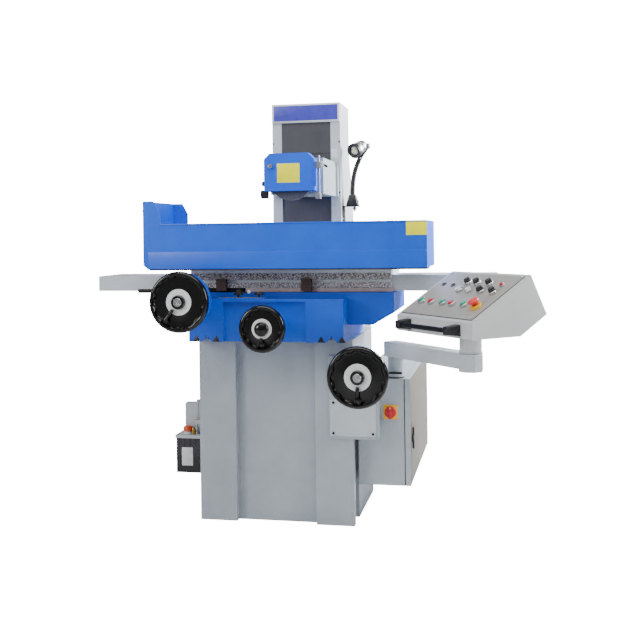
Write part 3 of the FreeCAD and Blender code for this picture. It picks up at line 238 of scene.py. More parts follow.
def table_finish():
    low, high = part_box("table_casting")
    made, tree, shader, place = material("cast_and_planed_table_iron", 0.6)
    at = put(tree, "SeparateXYZ", links={0: place}).outputs
    band = put(tree, "Math", {"operation": "LESS_THAN", 1: high.z - PLANED_EDGE_MM * MM},
               {0: at["Z"]}).outputs[0]
    face = put(tree, "Math", {"operation": "LESS_THAN", 1: low.y + FACE_MM * MM},
               {0: at["Y"]}).outputs[0]
    as_cast = put(tree, "Math", {"operation": "MULTIPLY"}, {0: band, 1: face}).outputs[0]
    grain = pattern(tree, place, 4.5, (0.7, 1, 1), detail=4, rough=0.7)
    # The as-cast colour is a dark grain, and its near-white speckles are painted glints of bare
    # metal.
    sand_grain_and_painted_glints = put(tree, "ValToRGB", stops("#4a4546", "#f2eeef", 0.4, 0.66), {"Fac": grain}).outputs[0]
    planed = put(tree, "ValToRGB", stops("#dfe6ec", "#eef2f6"),
                 {"Fac": pattern(tree, place, 120)}).outputs[0]
    mix = put(tree, "Mix", {"data_type": "RGBA"}, {0: as_cast, 6: planed, 7: sand_grain_and_painted_glints})
    deep = put(tree, "Math", {"operation": "MULTIPLY"}, {0: grain, 1: as_cast}).outputs[0]
    skin = put(tree, "Bump", {"Strength": 0.9, "Distance": 1.2 * MM}, {"Height": deep})
    tree.links.new(mix.outputs[2], shader.inputs["Base Color"])
    tree.links.new(skin.outputs[0], shader.inputs["Normal"])
    return made


table_iron = table_finish()
print("table finish", table_iron.name)

# %% [markdown]
# A magnetic chuck has a ground steel top with thin brass strips let in across
# it, which keep the magnet's poles apart. The strips are about two millimetres
# wide and twenty apart. X is counted in that pitch, and a Math node keeps the
# first part of each count as brass.

# %% Magnetic chuck
POLE_PITCH_MM = 20
BRASS_SHARE = 0.12
POLE_DEPTH_MM = 20


def chuck_finish():
    made, tree, shader, place = material("ground_chuck_steel_with_brass_poles", 0.28, metallic=1.0)
    top_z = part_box("magnetic_chuck")[1].z
    at = put(tree, "SeparateXYZ", links={0: place}).outputs
    along = put(tree, "Math", {"operation": "MULTIPLY", 1: 1 / (POLE_PITCH_MM * MM)},
                {0: at["X"]}).outputs[0]
    share = put(tree, "Math", {"operation": "FRACT"}, {0: along}).outputs[0]
    strip = put(tree, "Math", {"operation": "LESS_THAN", 1: BRASS_SHARE}, {0: share}).outputs[0]
    on_top = put(tree, "Math", {"operation": "GREATER_THAN", 1: top_z - POLE_DEPTH_MM * MM},
                 {0: at["Z"]}).outputs[0]
    poles = put(tree, "Math", {"operation": "MULTIPLY"}, {0: strip, 1: on_top}).outputs[0]
    lines = pattern(tree, place, 0.9, (0.03, 1, 1), detail=5, rough=0.7)
    steel = put(tree, "ValToRGB", stops("#8f9397", "#bfc2c5", 0.25, 0.75),
                {"Fac": lines}).outputs[0]
    mix = put(tree, "Mix", {"data_type": "RGBA", 7: linear("#b08d45")}, {0: poles, 6: steel})
    skin = put(tree, "Bump", {"Strength": 0.5, "Distance": 0.012 * MM}, {"Height": lines})
    tree.links.new(mix.outputs[2], shader.inputs["Base Color"])
    tree.links.new(skin.outputs[0], shader.inputs["Normal"])
    return made


chuck_steel = chuck_finish()
print("chuck finish", chuck_steel.name)

# %% [markdown]
# Plastics are moulded. Handwheels are black phenolic, pressed and polished, so
# they are glossy with a hint of swirl. Knobs and buttons are nylon or ABS with
# a very fine spark-eroded skin. Printed labels are smooth vinyl, left blank.

# %% Plastics, rubber and vinyl
def moulded(name, low, high, roughness, skin_mm=0.9, depth=0.01, metallic=0.0, **more):
    made, tree, shader, place = material(name, roughness, metallic, **more)
    colour = put(tree, "ValToRGB", stops(low, high), {"Fac": pattern(tree, place, 30)})
    gloss = put(tree, "ValToRGB", stops(roughness * 0.8, roughness * 1.25),
                {"Fac": pattern(tree, place, 14)})
    skin = put(tree, "Bump", {"Strength": 0.5, "Distance": depth * MM},
               {"Height": pattern(tree, place, skin_mm, detail=2)})
    tree.links.new(colour.outputs[0], shader.inputs["Base Color"])
    tree.links.new(gloss.outputs[0], shader.inputs["Roughness"])
    tree.links.new(skin.outputs[0], shader.inputs["Normal"])
    return made


phenolic = moulded("polished_black_phenolic", "#020203", "#050506", 0.14, 6, 0.01)
black_nylon = moulded("moulded_black_nylon", "#101012", "#1a1a1c", 0.42)
neck_rubber = moulded("black_neck_sleeve", "#0b0b0c", "#151517", 0.5)
red_abs = moulded("moulded_red_abs", "#b81420", "#c81c28", 0.3)
stop_red = moulded("moulded_stop_red_abs", "#d8322c", "#e43e36", 0.32)
green_abs = moulded("moulded_green_abs", "#0c8f66", "#149c72", 0.3)
yellow_abs = moulded("moulded_yellow_abs", "#e3ab18", "#efb924", 0.35)
white_abs = moulded("moulded_white_abs", "#cfd0cd", "#dcdcd8", 0.35)
orange_pp = moulded("moulded_orange_polypropylene", "#d8481c", "#e55526", 0.4)
led_yellow = moulded("led_phosphor", "#dcdcb0", "#ecebc8", 0.25)
red_lens = moulded("red_pilot_lens", "#b00f14", "#d11c1e", 0.12, **{"Coat Weight": 0.6})
yellow_vinyl = moulded("printed_yellow_vinyl", "#fff900", "#ffff0a", 0.4)
indigo_vinyl = moulded("printed_indigo_plate", "#3f40a8", "#4a4bb8", 0.35)
white_vinyl = moulded("printed_white_vinyl", "#d7dadc", "#e4e6e7", 0.4)
dial_white = moulded("anodised_pale_dial", "#dcddde", "#e8e9ea", 0.4, metallic=0.15)
print("plastics made")

# %% [markdown]
# The oil tank is blow-moulded smoky plastic, and the oil inside shows as a
# black band up to its level. The grinding wheel is grey abrasive grain, each
# grain about half a millimetre, drawn a little coarser so that it shows. Its
# grey is kept dark as painted shade, for the shadow the guard casts on it.

# %% Oil tank and abrasive
OIL_LEVEL = 0.48


def tank_finish():
    low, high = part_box("oil_tank")
    made, tree, shader, place = material("smoky_tank_plastic", 0.18, **{"Coat Weight": 0.4})
    height = put(tree, "SeparateXYZ", links={0: place}).outputs["Z"]
    level_z = low.z + OIL_LEVEL * (high.z - low.z)
    over = put(tree, "Math", {"operation": "GREATER_THAN", 1: level_z}, {0: height}).outputs[0]
    smoke = put(tree, "ValToRGB", stops("#1a1820", "#2d2a35"),
                {"Fac": pattern(tree, place, 60)}).outputs[0]
    mix = put(tree, "Mix", {"data_type": "RGBA", 6: linear("#08080a")}, {0: over, 7: smoke})
    waves = put(tree, "TexWave", {"Scale": 18.0, "Distortion": 0.4},
                {"Vector": place}).outputs["Fac"]
    skin = put(tree, "Bump", {"Strength": 0.4, "Distance": 0.4 * MM}, {"Height": waves})
    tree.links.new(mix.outputs[2], shader.inputs["Base Color"])
    tree.links.new(skin.outputs[0], shader.inputs["Normal"])
    return made


tank_plastic = tank_finish()
# Dark grey: the abrasive's own grey, darkened further as painted shade under the wheel guard.
abrasive_with_painted_shade = cast_skin("vitrified_abrasive_darkened_as_shade", "#2e2f32", "#77777a", 1.1, 0.25, 0.0, 0.85)
print("tank and wheel", tank_plastic.name, abrasive_with_painted_shade.name)

# %% [markdown]
# A CAD node whose shape is right only needs its finish. Its object keeps its
# mesh, and the material goes into its slots.

# %% Finishes on the CAD nodes
CAD_FINISH = {
    grey_enamel: ["base_casting", "feed_gear_case", "electrical_cabinet", "cabinet_door",
                  "console_post", "head_casting"],
    light_enamel: ["column_casting", "way_covers", "lubricator_pump"],
    pale_enamel_with_painted_highlight: ["column_name_board"],
    dark_enamel: ["column_covers_fixed", "column_cover_middle", "head_covers"],
    blue_enamel: ["saddle_casting", "table_wheel_housing"],
    guard_blue: ["splash_guard", "wheel_guard", "guard_door"],
    lamp_aluminium: ["coolant_nozzle"],
    console_enamel: ["console_body"],
    panel_aluminium: ["console_panel"],
    table_iron: ["table_casting"],
    chuck_steel: ["magnetic_chuck"],
    ground_steel: ["spindle", "wheel_flange"],
    dog_steel: ["table_dog_left", "table_dog_right"],
    abrasive_with_painted_shade: ["grinding_wheel"],
    tank_plastic: ["oil_tank"],
    black_steel: ["post_clamp_lever"],
    black_nylon: ["lamp_bracket"],
    green_abs: ["table_start_button", "wheel_start_button", "pump_start_button"],
    red_abs: ["table_stop_button", "wheel_stop_button"],
    white_abs: ["head_up_button", "head_down_button"],
}
for finish, names in CAD_FINISH.items():
    for name in names:
        for slot in nodes[name].material_slots:
            slot.material = finish
print("finished CAD nodes", sum(len(names) for names in CAD_FINISH.values()))

# %% [markdown]
# Now the modelling helpers.

# %% Modelling helpers
@contextmanager
def editing(piece):
    """Work on one piece in edit mode."""
    bpy.context.view_layer.objects.active = piece
    bpy.ops.object.mode_set(mode="EDIT")
    yield bmesh.from_edit_mesh(piece.data)
    bpy.ops.object.mode_set(mode="OBJECT")


def pick(piece, net, kind, test):
    """Select only the parts of one kind that pass a test."""
    bpy.ops.mesh.select_mode(type=kind)
    bpy.ops.mesh.select_all(action="DESELECT")
    for part in {"VERT": net.verts, "EDGE": net.edges, "FACE": net.faces}[kind]:
        if test(part):
            part.select_set(True)
    bmesh.update_edit_mesh(piece.data)


def begin(name, add, **how):
    bpy.ops.object.select_all(action="DESELECT")
    add(**how)
    piece = bpy.context.object
    piece.name = piece.data.name = name
    return piece


def settle(piece):
    """Put a piece's place, turn and scale into its mesh."""
    bpy.ops.object.select_all(action="DESELECT")
    piece.select_set(True)
    bpy.context.view_layer.objects.active = piece
    bpy.ops.object.transform_apply(location=True, rotation=True, scale=True)


def lay(piece, matrix):
    """Move a piece by a matrix, and keep the result in its mesh."""
    piece.matrix_world = matrix
    settle(piece)
    return piece


def soften(piece, width_mm, steps=2, angle=40):
    """Round every sharp edge with a Bevel modifier, apply it and smooth the faces."""
    settle(piece)
    if width_mm:
        rounding = piece.modifiers.new("rounding", "BEVEL")
        rounding.width = width_mm * MM
        rounding.segments = steps
        rounding.limit_method = "ANGLE"
        rounding.angle_limit = math.radians(angle)
        bpy.ops.object.modifier_apply(modifier=rounding.name)
    bpy.ops.object.shade_smooth_by_angle(angle=math.radians(angle))
    return piece


def dress(piece, finish, body, replaces=()):
    """Give a finished piece its material, its body and the nodes it stands for."""
    piece.data.materials.clear()
    piece.data.materials.append(finish)
    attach(piece, body)
    if replaces:
        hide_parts(*replaces)
    return piece


def block(name, low_mm, high_mm, corner_mm=0, edge_mm=0.6, upright="z", taper=None):
    """A block between two corners, with rounded upright edges and softened rims."""
    low, high = Vector(low_mm) * MM, Vector(high_mm) * MM
    piece = begin(name, bpy.ops.mesh.primitive_cube_add, size=1, location=(low + high) / 2)
    piece.dimensions = high - low
    settle(piece)
    axis = "xyz".index(upright)
    with editing(piece) as net:
        if corner_mm:
            pick(piece, net, "EDGE",
                 lambda edge: abs((edge.verts[0].co - edge.verts[1].co).normalized()[axis]) > 0.9)
            bpy.ops.mesh.bevel(offset=corner_mm * MM, segments=5, affect="EDGES")
        if taper:
            pick(piece, net, "FACE", lambda face: face.normal[axis] > 0.9)
            bpy.ops.transform.resize(value=taper, center_override=(low + high) / 2)
    return soften(piece, edge_mm)


def turned(name, profile_mm, sides=48, hollow=False, edge_mm=0):
    """A turned piece about Z: a circle, extruded and scaled along (radius, height) points."""
    radius, height = profile_mm[0]
    piece = begin(name, bpy.ops.mesh.primitive_circle_add, vertices=sides, radius=radius * MM,
                  fill_type="NOTHING" if hollow else "NGON", location=(0, 0, height * MM))
    settle(piece)
    with editing(piece):
        bpy.ops.mesh.select_mode(type="VERT")
        bpy.ops.mesh.select_all(action="SELECT")
        for next_radius, next_height in profile_mm[1:]:
            rise = (0, 0, (next_height - height) * MM)
            bpy.ops.mesh.extrude_region_move(TRANSFORM_OT_translate={"value": rise})
            ratio = next_radius / radius
            bpy.ops.transform.resize(value=(ratio, ratio, 1),
                                     center_override=(0, 0, next_height * MM))
            radius, height = next_radius, next_height
        if hollow:
            pick(piece, bmesh.from_edit_mesh(piece.data), "EDGE", lambda edge: edge.is_boundary)
            bpy.ops.mesh.bridge_edge_loops()
        bpy.ops.mesh.select_all(action="SELECT")
        bpy.ops.mesh.normals_make_consistent(inside=False)
    return soften(piece, edge_mm, angle=32)


def seat(piece, at_mm, toward=(0, 0, 1)):
    """Stand a piece that was made about Z at a point, with its Z along a direction."""
    turn = Vector(toward).to_track_quat("Z", "Y").to_matrix().to_4x4()
    return lay(piece, Matrix.Translation(Vector(at_mm) * MM) @ turn)


def copy_of(piece, name):
    """A copy with a mesh of its own."""
    again = piece.copy()
    again.data = piece.data.copy()
    again.name = again.data.name = name
    bpy.context.scene.collection.objects.link(again)
    return again


def merge(name, pieces):
    """Join several meshes into one piece."""
    bpy.ops.object.select_all(action="DESELECT")
    for piece in pieces:
        piece.select_set(True)
    bpy.context.view_layer.objects.active = pieces[0]
    bpy.ops.object.join()
    pieces[0].name = pieces[0].data.name = name
    return pieces[0]


FRONT = (0, -1, 0)
RIGHT = (1, 0, 0)
QUARTER = math.radians(90)
print("modelling helpers ready")

# %% [markdown]
# Screws are everywhere on a machine, so one cap screw is modelled well and
# copied: a turned head with a chamfer, and a 24-sided socket sunk in it by
# an inset and an extrusion inwards.

# %% Cap screw
def cap_screw(name, head_mm=8, tall_mm=4):
    radius = head_mm / 2
    screw = turned(name, [(radius, 0), (radius, tall_mm - 0.5), (radius - 0.5, tall_mm)], sides=24)
    with editing(screw) as net:
        pick(screw, net, "FACE",
             lambda face: face.normal.z > 0.9 and face.calc_center_median().z > 0.9 * tall_mm * MM)
        bpy.ops.mesh.inset(thickness=head_mm * 0.21 * MM)
        sink = (0, 0, -tall_mm * 0.6 * MM)
        bpy.ops.mesh.extrude_region_move(TRANSFORM_OT_translate={"value": sink})
        bpy.ops.transform.resize(value=(0.9, 0.9, 1))
    return screw


pattern_screw = cap_screw("pattern_screw")
screw_count = 0


def add_screw(at_mm, body, toward=FRONT, finish=black_steel, size=1.0):
    """Copy the pattern screw to a place on a body."""
    global screw_count
    screw_count += 1
    screw = copy_of(pattern_screw, "screw_%02d" % screw_count)
    screw.scale = (size, size, size)
    settle(screw)
    dress(seat(screw, at_mm, toward), finish, body)


COLUMN_FACE_Y = 131
for x in (-164.8, 164.8):
    for z in (1150, 1405, 1651):
        add_screw((x, COLUMN_FACE_Y, z), "frame")
print("screws", screw_count)

# %% [markdown]
# The name board carries a printed indigo plate, left blank here. A plate is a
# cube flattened to size, with its four corners bevelled round, and a soft rim.
# The yellow labels on the wheel guard and the splash guard, and the small
# white ones on the column and the head, are made the same way and are blank.

# %% Plates and labels
board_low, board_high = (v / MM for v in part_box("column_name_board"))
front_y = board_low.y
PLATES = [  # name, low corner, high corner, corner radius, rim, finish, body
    ("name_plate", (board_low.x + 10, front_y - 0.9, board_low.z + 10),
     (board_high.x - 9, front_y + 0.4, board_high.z - 9), 1.5, 0.3, indigo_vinyl, "frame"),
    ("name_plate_rim", (board_low.x + 0.5, front_y - 0.5, board_low.z + 0.5),
     (board_high.x - 0.5, front_y + 0.2, board_high.z - 0.5), 2, 0.3, pale_enamel_with_painted_highlight, "frame"),
    ("guard_label", (-44, -290.7, 1434), (59, -289.6, 1520), 1.5, 0.2, yellow_vinyl, "guard_door"),
    ("column_label", (124, 130.8, 1573), (154, 131.4, 1617), 1.5, 0.1, white_vinyl, "frame"),
    ("head_label", (128, 104.2, 1505), (152, 105.2, 1530), 1, 0.2, white_vinyl, "head"),
    ("splash_label", (569, -664.8, 1195), (651.6, -663.6, 1249), 1.5, 0.2, yellow_vinyl, "table"),
]
for name, low, high, corner, rim, finish, body in PLATES:
    dress(block(name, low, high, corner, rim, "y"), finish, body)
print("plates", len(PLATES))

# %% [markdown]
# The phenolic handwheels are the machine's most handled parts. The real ones
# are dished: the web falls back from the hub, and the rim stands forward, with
# a row of finger hollows round its inner edge. The dish is turned from one
# circle of 96 corners. The hollows come from scaling some corners of the inner
# ring out and some in, in a wave of twelve.

# %% Handwheel dish
HOLLOWS = 12
WAVE_STEPS = 8


def dish(name, rim, shaft):
    """A dished wheel about Z with a rim radius and a shaft length in millimetres."""
    profile = [(11, -shaft), (11, -14), (30, -14), (33, -3), (rim - 22, -2), (rim - 9, -8),
               (rim - 3, -7), (rim - 0.6, -3), (rim, 3), (rim - 0.6, 10), (rim - 3, 15.5),
               (rim - 7, 19), (rim - 12, 20), (rim - 16, 18.6), (rim - 19, 14), (rim - 21, 8.5),
               (rim - 24, 5.5), (rim - 32, 5.2), (rim * 0.5, 6.5), (34, 8), (29, 9), (27, 23),
               (25, 25), (19, 25.5)]
    wheel = turned(name, profile, sides=HOLLOWS * WAVE_STEPS)
    wave_at_height = {18.6: 0.012, 14: 0.035, 8.5: 0.045, 5.5: 0.03}
    with editing(wheel) as net:
        for height, swing in wave_at_height.items():
            for step in range(WAVE_STEPS):
                share = math.cos(2 * math.pi * step / WAVE_STEPS)

                def on_step(vert, height=height, step=step):
                    turn = math.atan2(vert.co.y, vert.co.x) / (2 * math.pi) * HOLLOWS * WAVE_STEPS
                    return (abs(vert.co.z - height * MM) < 0.05 * MM
                            and vert.co.xy.length > (rim - 30) * MM
                            and round(turn) % WAVE_STEPS == step)

                pick(wheel, net, "VERT", on_step)
                ratio = 1 + swing * share
                bpy.ops.transform.resize(value=(ratio, ratio, 1),
                                         center_override=(0, 0, height * MM))
    bpy.ops.object.shade_smooth_by_angle(angle=math.radians(50))
    return wheel


print("dish helper ready")

# %% [markdown]
# Round the hub sits a pale aluminium dial ring, then a black hub with the end
# of the steel shaft in it. The folding handle lies across the dish between
# two ears near the rim, so the ears are part of the wheel and the handle
# rides on its own body.

# %% Handwheels
WHEELS = {
    "table": {"at": (-309, -846, 942), "rim": 121.5, "turn": 127, "shaft": 60, "dial": 52},
    "cross": {"at": (27, -846, 839), "rim": 92.5, "turn": 90, "shaft": 170, "dial": 40},
    "head": {"at": (389, -786, 649), "rim": 121, "turn": 90, "shaft": 60, "dial": 53},
}
SHAFT_END = [(17, 24), (17, 27), (15.8, 28.2), (10, 28.2), (9, 26.4), (5, 26.4), (4.4, 29),
             (2, 29.6)]
HUB_CAP = [(21, 25), (21, 27), (17, 30), (8, 31.5)]
HANDLE_LIFT = Vector((0, -20, 0))
for key, facts in WHEELS.items():
    body = key + "_handwheel"
    at, rim, dial_r = Vector(facts["at"]), facts["rim"], facts["dial"]
    wheel = seat(dish(key + "_wheel_dish", rim, facts["shaft"]), at, FRONT)
    ring = [(dial_r - 4, 4), (dial_r, 5), (dial_r, 10), (dial_r - 1, 10.8), (28.3, 11.5), (28.3, 9)]
    dial = turned(key + "_dial_ring", ring, sides=64, hollow=True)
    dress(seat(dial, at, FRONT), dial_white, body)
    if key == "cross":
        end = turned("cross_hub_cap", HUB_CAP, sides=40)
        dress(seat(end, at, FRONT), phenolic, body)
    else:
        end = turned(key + "_shaft_end", SHAFT_END, sides=40)
        dress(seat(end, at, FRONT), bright_steel, body)
    pin_x = rim - 32
    lying = Matrix.Rotation(QUARTER, 4, "X")
    across_dish = Matrix.Rotation(math.radians(facts["turn"]), 4, "Y") @ lying
    ears = [block("ear", (pin_x - 7, y - 2.6, 3), (pin_x + 7, y + 2.6, 25), 5, 0.5, "y")
            for y in (-11, 11)]
    ears = lay(merge(key + "_handle_ears", ears), Matrix.Translation(at * MM) @ across_dish)
    dress(merge(key + "_wheel", [wheel, ears]), phenolic, body, [body])
    grip = turned(key + "_grip_blank",
                  [(4, 34), (6, 36), (7.6, 41), (7.9, 48), (6.6, pin_x - 26), (6.2, pin_x - 14),
                   (7.4, pin_x - 9), (7.8, pin_x + 2), (6, pin_x + 6), (3, pin_x + 7)], sides=28)
    pin = turned(key + "_pin_blank", [(2.4, -14), (2.4, 13.6), (2, 14)], sides=16)
    lay(grip, Matrix.Rotation(QUARTER, 4, "Y"))
    lay(pin, Matrix.Translation((pin_x * MM, 0, 0)) @ lying)
    handle = merge(key + "_folding_handle", [grip, pin])
    lay(handle, Matrix.Translation((at + HANDLE_LIFT) * MM) @ across_dish)
    dress(handle, phenolic, key + "_grip", [body + "_grip"])
print("handwheels", list(WHEELS))

# %% [markdown]
# The console's controls stand on its sloping face. Their places come from the
# CAD nodes: each node's corners, measured along the face's own directions,
# give its middle, and the panel's corners and sheet give the height of its face.

# %% Directions of the console's face
CONSOLE_YAW = math.radians(-49)
FACE_SLOPE = math.atan2(159, 271)
across = Vector((math.cos(CONSOLE_YAW), math.sin(CONSOLE_YAW), 0))
back_level = Vector((-math.sin(CONSOLE_YAW), math.cos(CONSOLE_YAW), 0))
up_slope = back_level * math.cos(FACE_SLOPE) + Vector((0, 0, math.sin(FACE_SLOPE)))
face_out = across.cross(up_slope)
face_matrix = Matrix((across, up_slope, face_out)).transposed().to_4x4()


def spans(name):
    """A node's low and high along across, up_slope and face_out, in millimetres."""
    points = [[v.co.dot(way) / MM for way in (across, up_slope, face_out)]
              for v in nodes[name].data.vertices]
    return [(min(p[i] for p in points), max(p[i] for p in points)) for i in range(3)]


panel_spans = spans("console_panel")
(u_low, u_high), (v_low, v_high) = panel_spans[:2]
SHEET_MM = 3
PANEL_TOP = panel_spans[2][0] + SHEET_MM


def on_panel(piece, u, v):
    """Stand a piece made about Z on the panel, at distances along the face's directions."""
    at = across * u + up_slope * v + face_out * PANEL_TOP
    return lay(piece, Matrix.Translation(at * MM) @ face_matrix)


def middle(name):
    sides = spans(name)
    return sum(sides[0]) / 2, sum(sides[1]) / 2


print("panel", [tuple(round(v, 1) for v in pair) for pair in panel_spans])

# %% [markdown]
# Each push button is a chromed bezel ring with a coloured cap inside. The ring
# is hollow, so it is turned from an open circle and its two ends are bridged.

# %% Push buttons and pilot lamp
BUTTONS = {"table_start": green_abs, "table_stop": red_abs, "wheel_start": green_abs,
           "wheel_stop": red_abs,
           "pump_start": green_abs, "head_up": white_abs, "head_down": white_abs}
RING = [(15.6, 0.1), (15.6, 7.5), (14.7, 10.2), (13.2, 11.4), (12.2, 11), (11.6, 9), (11.6, 0.1)]
CAP = [(10.9, -6), (10.9, 12.6), (10.3, 14.2), (8.8, 15), (4, 15.3)]
for key, finish in BUTTONS.items():
    u, v = middle(key + "_button")
    ring = on_panel(turned(key + "_bezel", RING, sides=40, hollow=True), u, v)
    dress(ring, bright_steel, "console")
    cap = on_panel(turned(key + "_cap", CAP, sides=36), u, v)
    dress(cap, finish, key, [key + "_button"])
stop_u, stop_v = middle("emergency_stop")
lamp_v = middle("lamp_selector")[1]
lens_frame = block("pilot_blank", (-9, -9, 0.1), (9, 9, 6.5), 2, 0.6)
dress(on_panel(lens_frame, stop_u, lamp_v), bright_steel, "console").name = "pilot_frame"
pilot = block("pilot_lens", (-7.2, -7.2, 4), (7.2, 7.2, 12), 1.5, 0.8, taper=(0.86, 0.86, 1))
dress(on_panel(pilot, stop_u, lamp_v), red_lens, "console")
print("buttons", len(BUTTONS))

# %% [markdown]
# The stop button is a mushroom: a flared red cap on a neck, over a yellow
# base ring. Selectors are black discs with a raised finger grip and a white
# line on it, and they turn, so each rides on its own body.

# %% Emergency stop and selectors
MUSHROOM = [(10.8, -6), (10.8, 15), (11.6, 17.2), (14.5, 19), (17.8, 20.6), (20, 22),
            (20.6, 24.4), (20, 28), (17.5, 31), (13, 32.6), (6, 33.2)]
mushroom = on_panel(turned("stop_mushroom", MUSHROOM, sides=56), stop_u, stop_v)
dress(mushroom, stop_red, "emergency_stop", ["emergency_stop"])
stop_ring = turned("stop_ring",
                   [(24, 0.1), (24, 4), (22.6, 9), (19, 10.8), (12.2, 10.8), (12.2, 0.1)], 56,
                   hollow=True)
dress(on_panel(stop_ring, stop_u, stop_v), yellow_abs, "console")
SELECTORS = ("table_mode_selector", "magnet_selector", "feed_selector", "coolant_selector",
             "lamp_selector")
for name in SELECTORS:
    u, v = middle(name)
    ring = on_panel(turned(name + "_bezel", RING, sides=40, hollow=True), u, v)
    dress(ring, bright_steel, "console")
    disc = turned("disc",
                  [(10.9, -6), (10.9, 11.6), (13.6, 12), (14, 13.4), (13.4, 17), (12.4, 18)],
                  sides=36)
    lever = block("lever", (-3.6, -13, 17), (3.6, 13, 27), 2.5, 0.7, taper=(0.72, 0.92, 1))
    knob = on_panel(merge(name + "_knob", [disc, lever]), u, v)
    dress(knob, black_nylon, name, [name])
    line = on_panel(block(name + "_line", (-0.9, 2, 26.7), (0.9, 11, 27.3), 0.4, 0.1), u, v)
    dress(line, white_abs, name)
for number, (u_share, v_share) in enumerate(((0.10, 0.71), (0.24, 0.70))):
    plug = turned("panel_plug_%d" % number,
                  [(11, 0.1), (11, 2.4), (10, 3.4), (7.5, 3.4), (6.4, 1.4)], sides=32)
    on_panel(plug, u_low + u_share * (u_high - u_low), v_low + v_share * (v_high - v_low))
    dress(plug, black_nylon, "console")
for u in (u_low + 8, u_high - 8):
    for v in (v_low + 8, v_high - 8):
        add_screw(across * u + up_slope * v + face_out * PANEL_TOP, "console", face_out,
                  bright_steel, 0.7)
edging = block("panel_edging", (u_low - 2, v_low - 2, -2.6), (u_high + 2, v_high + 2, -1.2), 3, 0.3)
dress(on_panel(edging, 0, 0), black_nylon, "console")
print("selectors", len(SELECTORS))

# %% [markdown]
# The console's grab handle is a dark tube between two black end blocks, which
# taper towards the tube. The blocks are cubes whose outer face was scaled. They
# are mirrored onto the console's front, so their normals are made to face out.

# %% Console handle
console_turn = Matrix.Rotation(CONSOLE_YAW, 4, "Z")
console_corner = Matrix.Translation(Vector((838, -1099, 889)) * MM) @ console_turn
CONSOLE_MIDDLE = -455 / 2
FACE_MIDDLE = -59 / 2
HALF_RAIL = 165
rail_start, rail_end = CONSOLE_MIDDLE - HALF_RAIL, CONSOLE_MIDDLE + HALF_RAIL
handle_parts = []
for x in (rail_start, rail_end - 34):
    holder = block("holder", (x, 0.4, FACE_MIDDLE - 20), (x + 34, 54, FACE_MIDDLE + 20), 3, 1.0,
                   "y")
    with editing(holder) as net:
        pick(holder, net, "FACE", lambda face: face.calc_center_median().y > 50 * MM)
        bpy.ops.transform.resize(value=(0.8, 1, 0.72),
                                 center_override=Vector((x + 17, 52, FACE_MIDDLE)) * MM)
    lay(holder, console_corner @ Matrix.Diagonal((1, -1, 1, 1)))
    with editing(holder):
        bpy.ops.mesh.select_all(action="SELECT")
        bpy.ops.mesh.normals_make_consistent(inside=False)
    handle_parts.append(holder)
holders = merge("console_handle_blocks", handle_parts)
dress(holders, black_nylon, "console", ["console_handle"])
tube = turned("console_handle_tube", [(7, 12), (9, 14), (9, 316), (7, 318)], sides=36)
tube_start = Matrix.Translation(Vector((rail_start, -42, FACE_MIDDLE)) * MM)
lay(tube, console_corner @ tube_start @ Matrix.Rotation(QUARTER, 4, "Y"))
dress(tube, black_steel, "console")
print("handle tube", tube.name)

# %% [markdown]
# The swing arm is a rectangular beam with cut corners at the post end and an
# eight-sided boss under the console's neck. Both shapes are easy with few
# sides: an eight-sided turning is an octagon, and the beam's corners are
# bevelled wide. A thin collar and a ring hide where they turn.

# %% Swing arm
post = Vector((496, -450, 0))
pivot = Vector((821, -810, 0))
reach = (pivot - post).length
swing = math.atan2(pivot.y - post.y, pivot.x - post.x)
beam = block("beam", (-44, -38, 690.4), (reach + 10, 38, 749.6), 18, 1.5)
boss = turned("boss", [(46, 682), (47.5, 684), (47.5, 748), (46, 749.8)], sides=8, edge_mm=1)
lay(beam, Matrix.Translation(post * MM) @ Matrix.Rotation(swing, 4, "Z"))
lay(boss, Matrix.Translation(pivot * MM) @ Matrix.Rotation(swing + math.radians(22.5), 4, "Z"))
dress(merge("swing_arm", [beam, boss]), light_enamel, "arm", ["console_arm"])
collar = turned("neck_collar", [(43, 0), (43.4, 1), (43.4, 5), (43, 6)], sides=56)
dress(seat(collar, (pivot.x, pivot.y, 751)), grey_enamel, "console")
post_ring = turned("post_ring", [(35, 0), (35.5, 1), (35.5, 5), (35, 6)], sides=56)
dress(seat(post_ring, (post.x, post.y, 600.2)), black_nylon, "frame")
print("arm reach", round(reach), "mm")

# %% [markdown]
# The main switch is a red rotary handle on a yellow square plate. Its turned
# disc and its bevelled grip are joined to one piece, so that they turn together.

# %% Main switch
switch_plate = block("switch_plate", (446, -489.3, 432), (506, -486.9, 492), 3, 0.5, "y")
dress(switch_plate, yellow_abs, "frame")
knob_disc = turned("switch_disc", [(22, 0.2), (24, 1), (24, 8), (22.5, 9.5), (12, 10)], sides=48)
seat(knob_disc, (476, -489.6, 462), FRONT)
lever = block("switch_lever", (469.5, -509, 436), (482.5, -498, 488), 5, 1.2, "y")
dress(merge("switch_handle", [knob_disc, lever]), red_abs, "main_switch", ["main_switch_knob"])
mark = block("switch_mark", (474.8, -509.4, 476), (477.2, -508.8, 486), 0.5, 0.1, "y")
dress(mark, white_abs, "main_switch")
print("main switch", switch_plate.name)

# %% [markdown]
# The cabinet's door is a folded tray. A black rubber seal shows as a dark line
# between it and the box, its face is brushed sheet, an air grille of short bars
# sits low on it, and the latch is on a long plate.

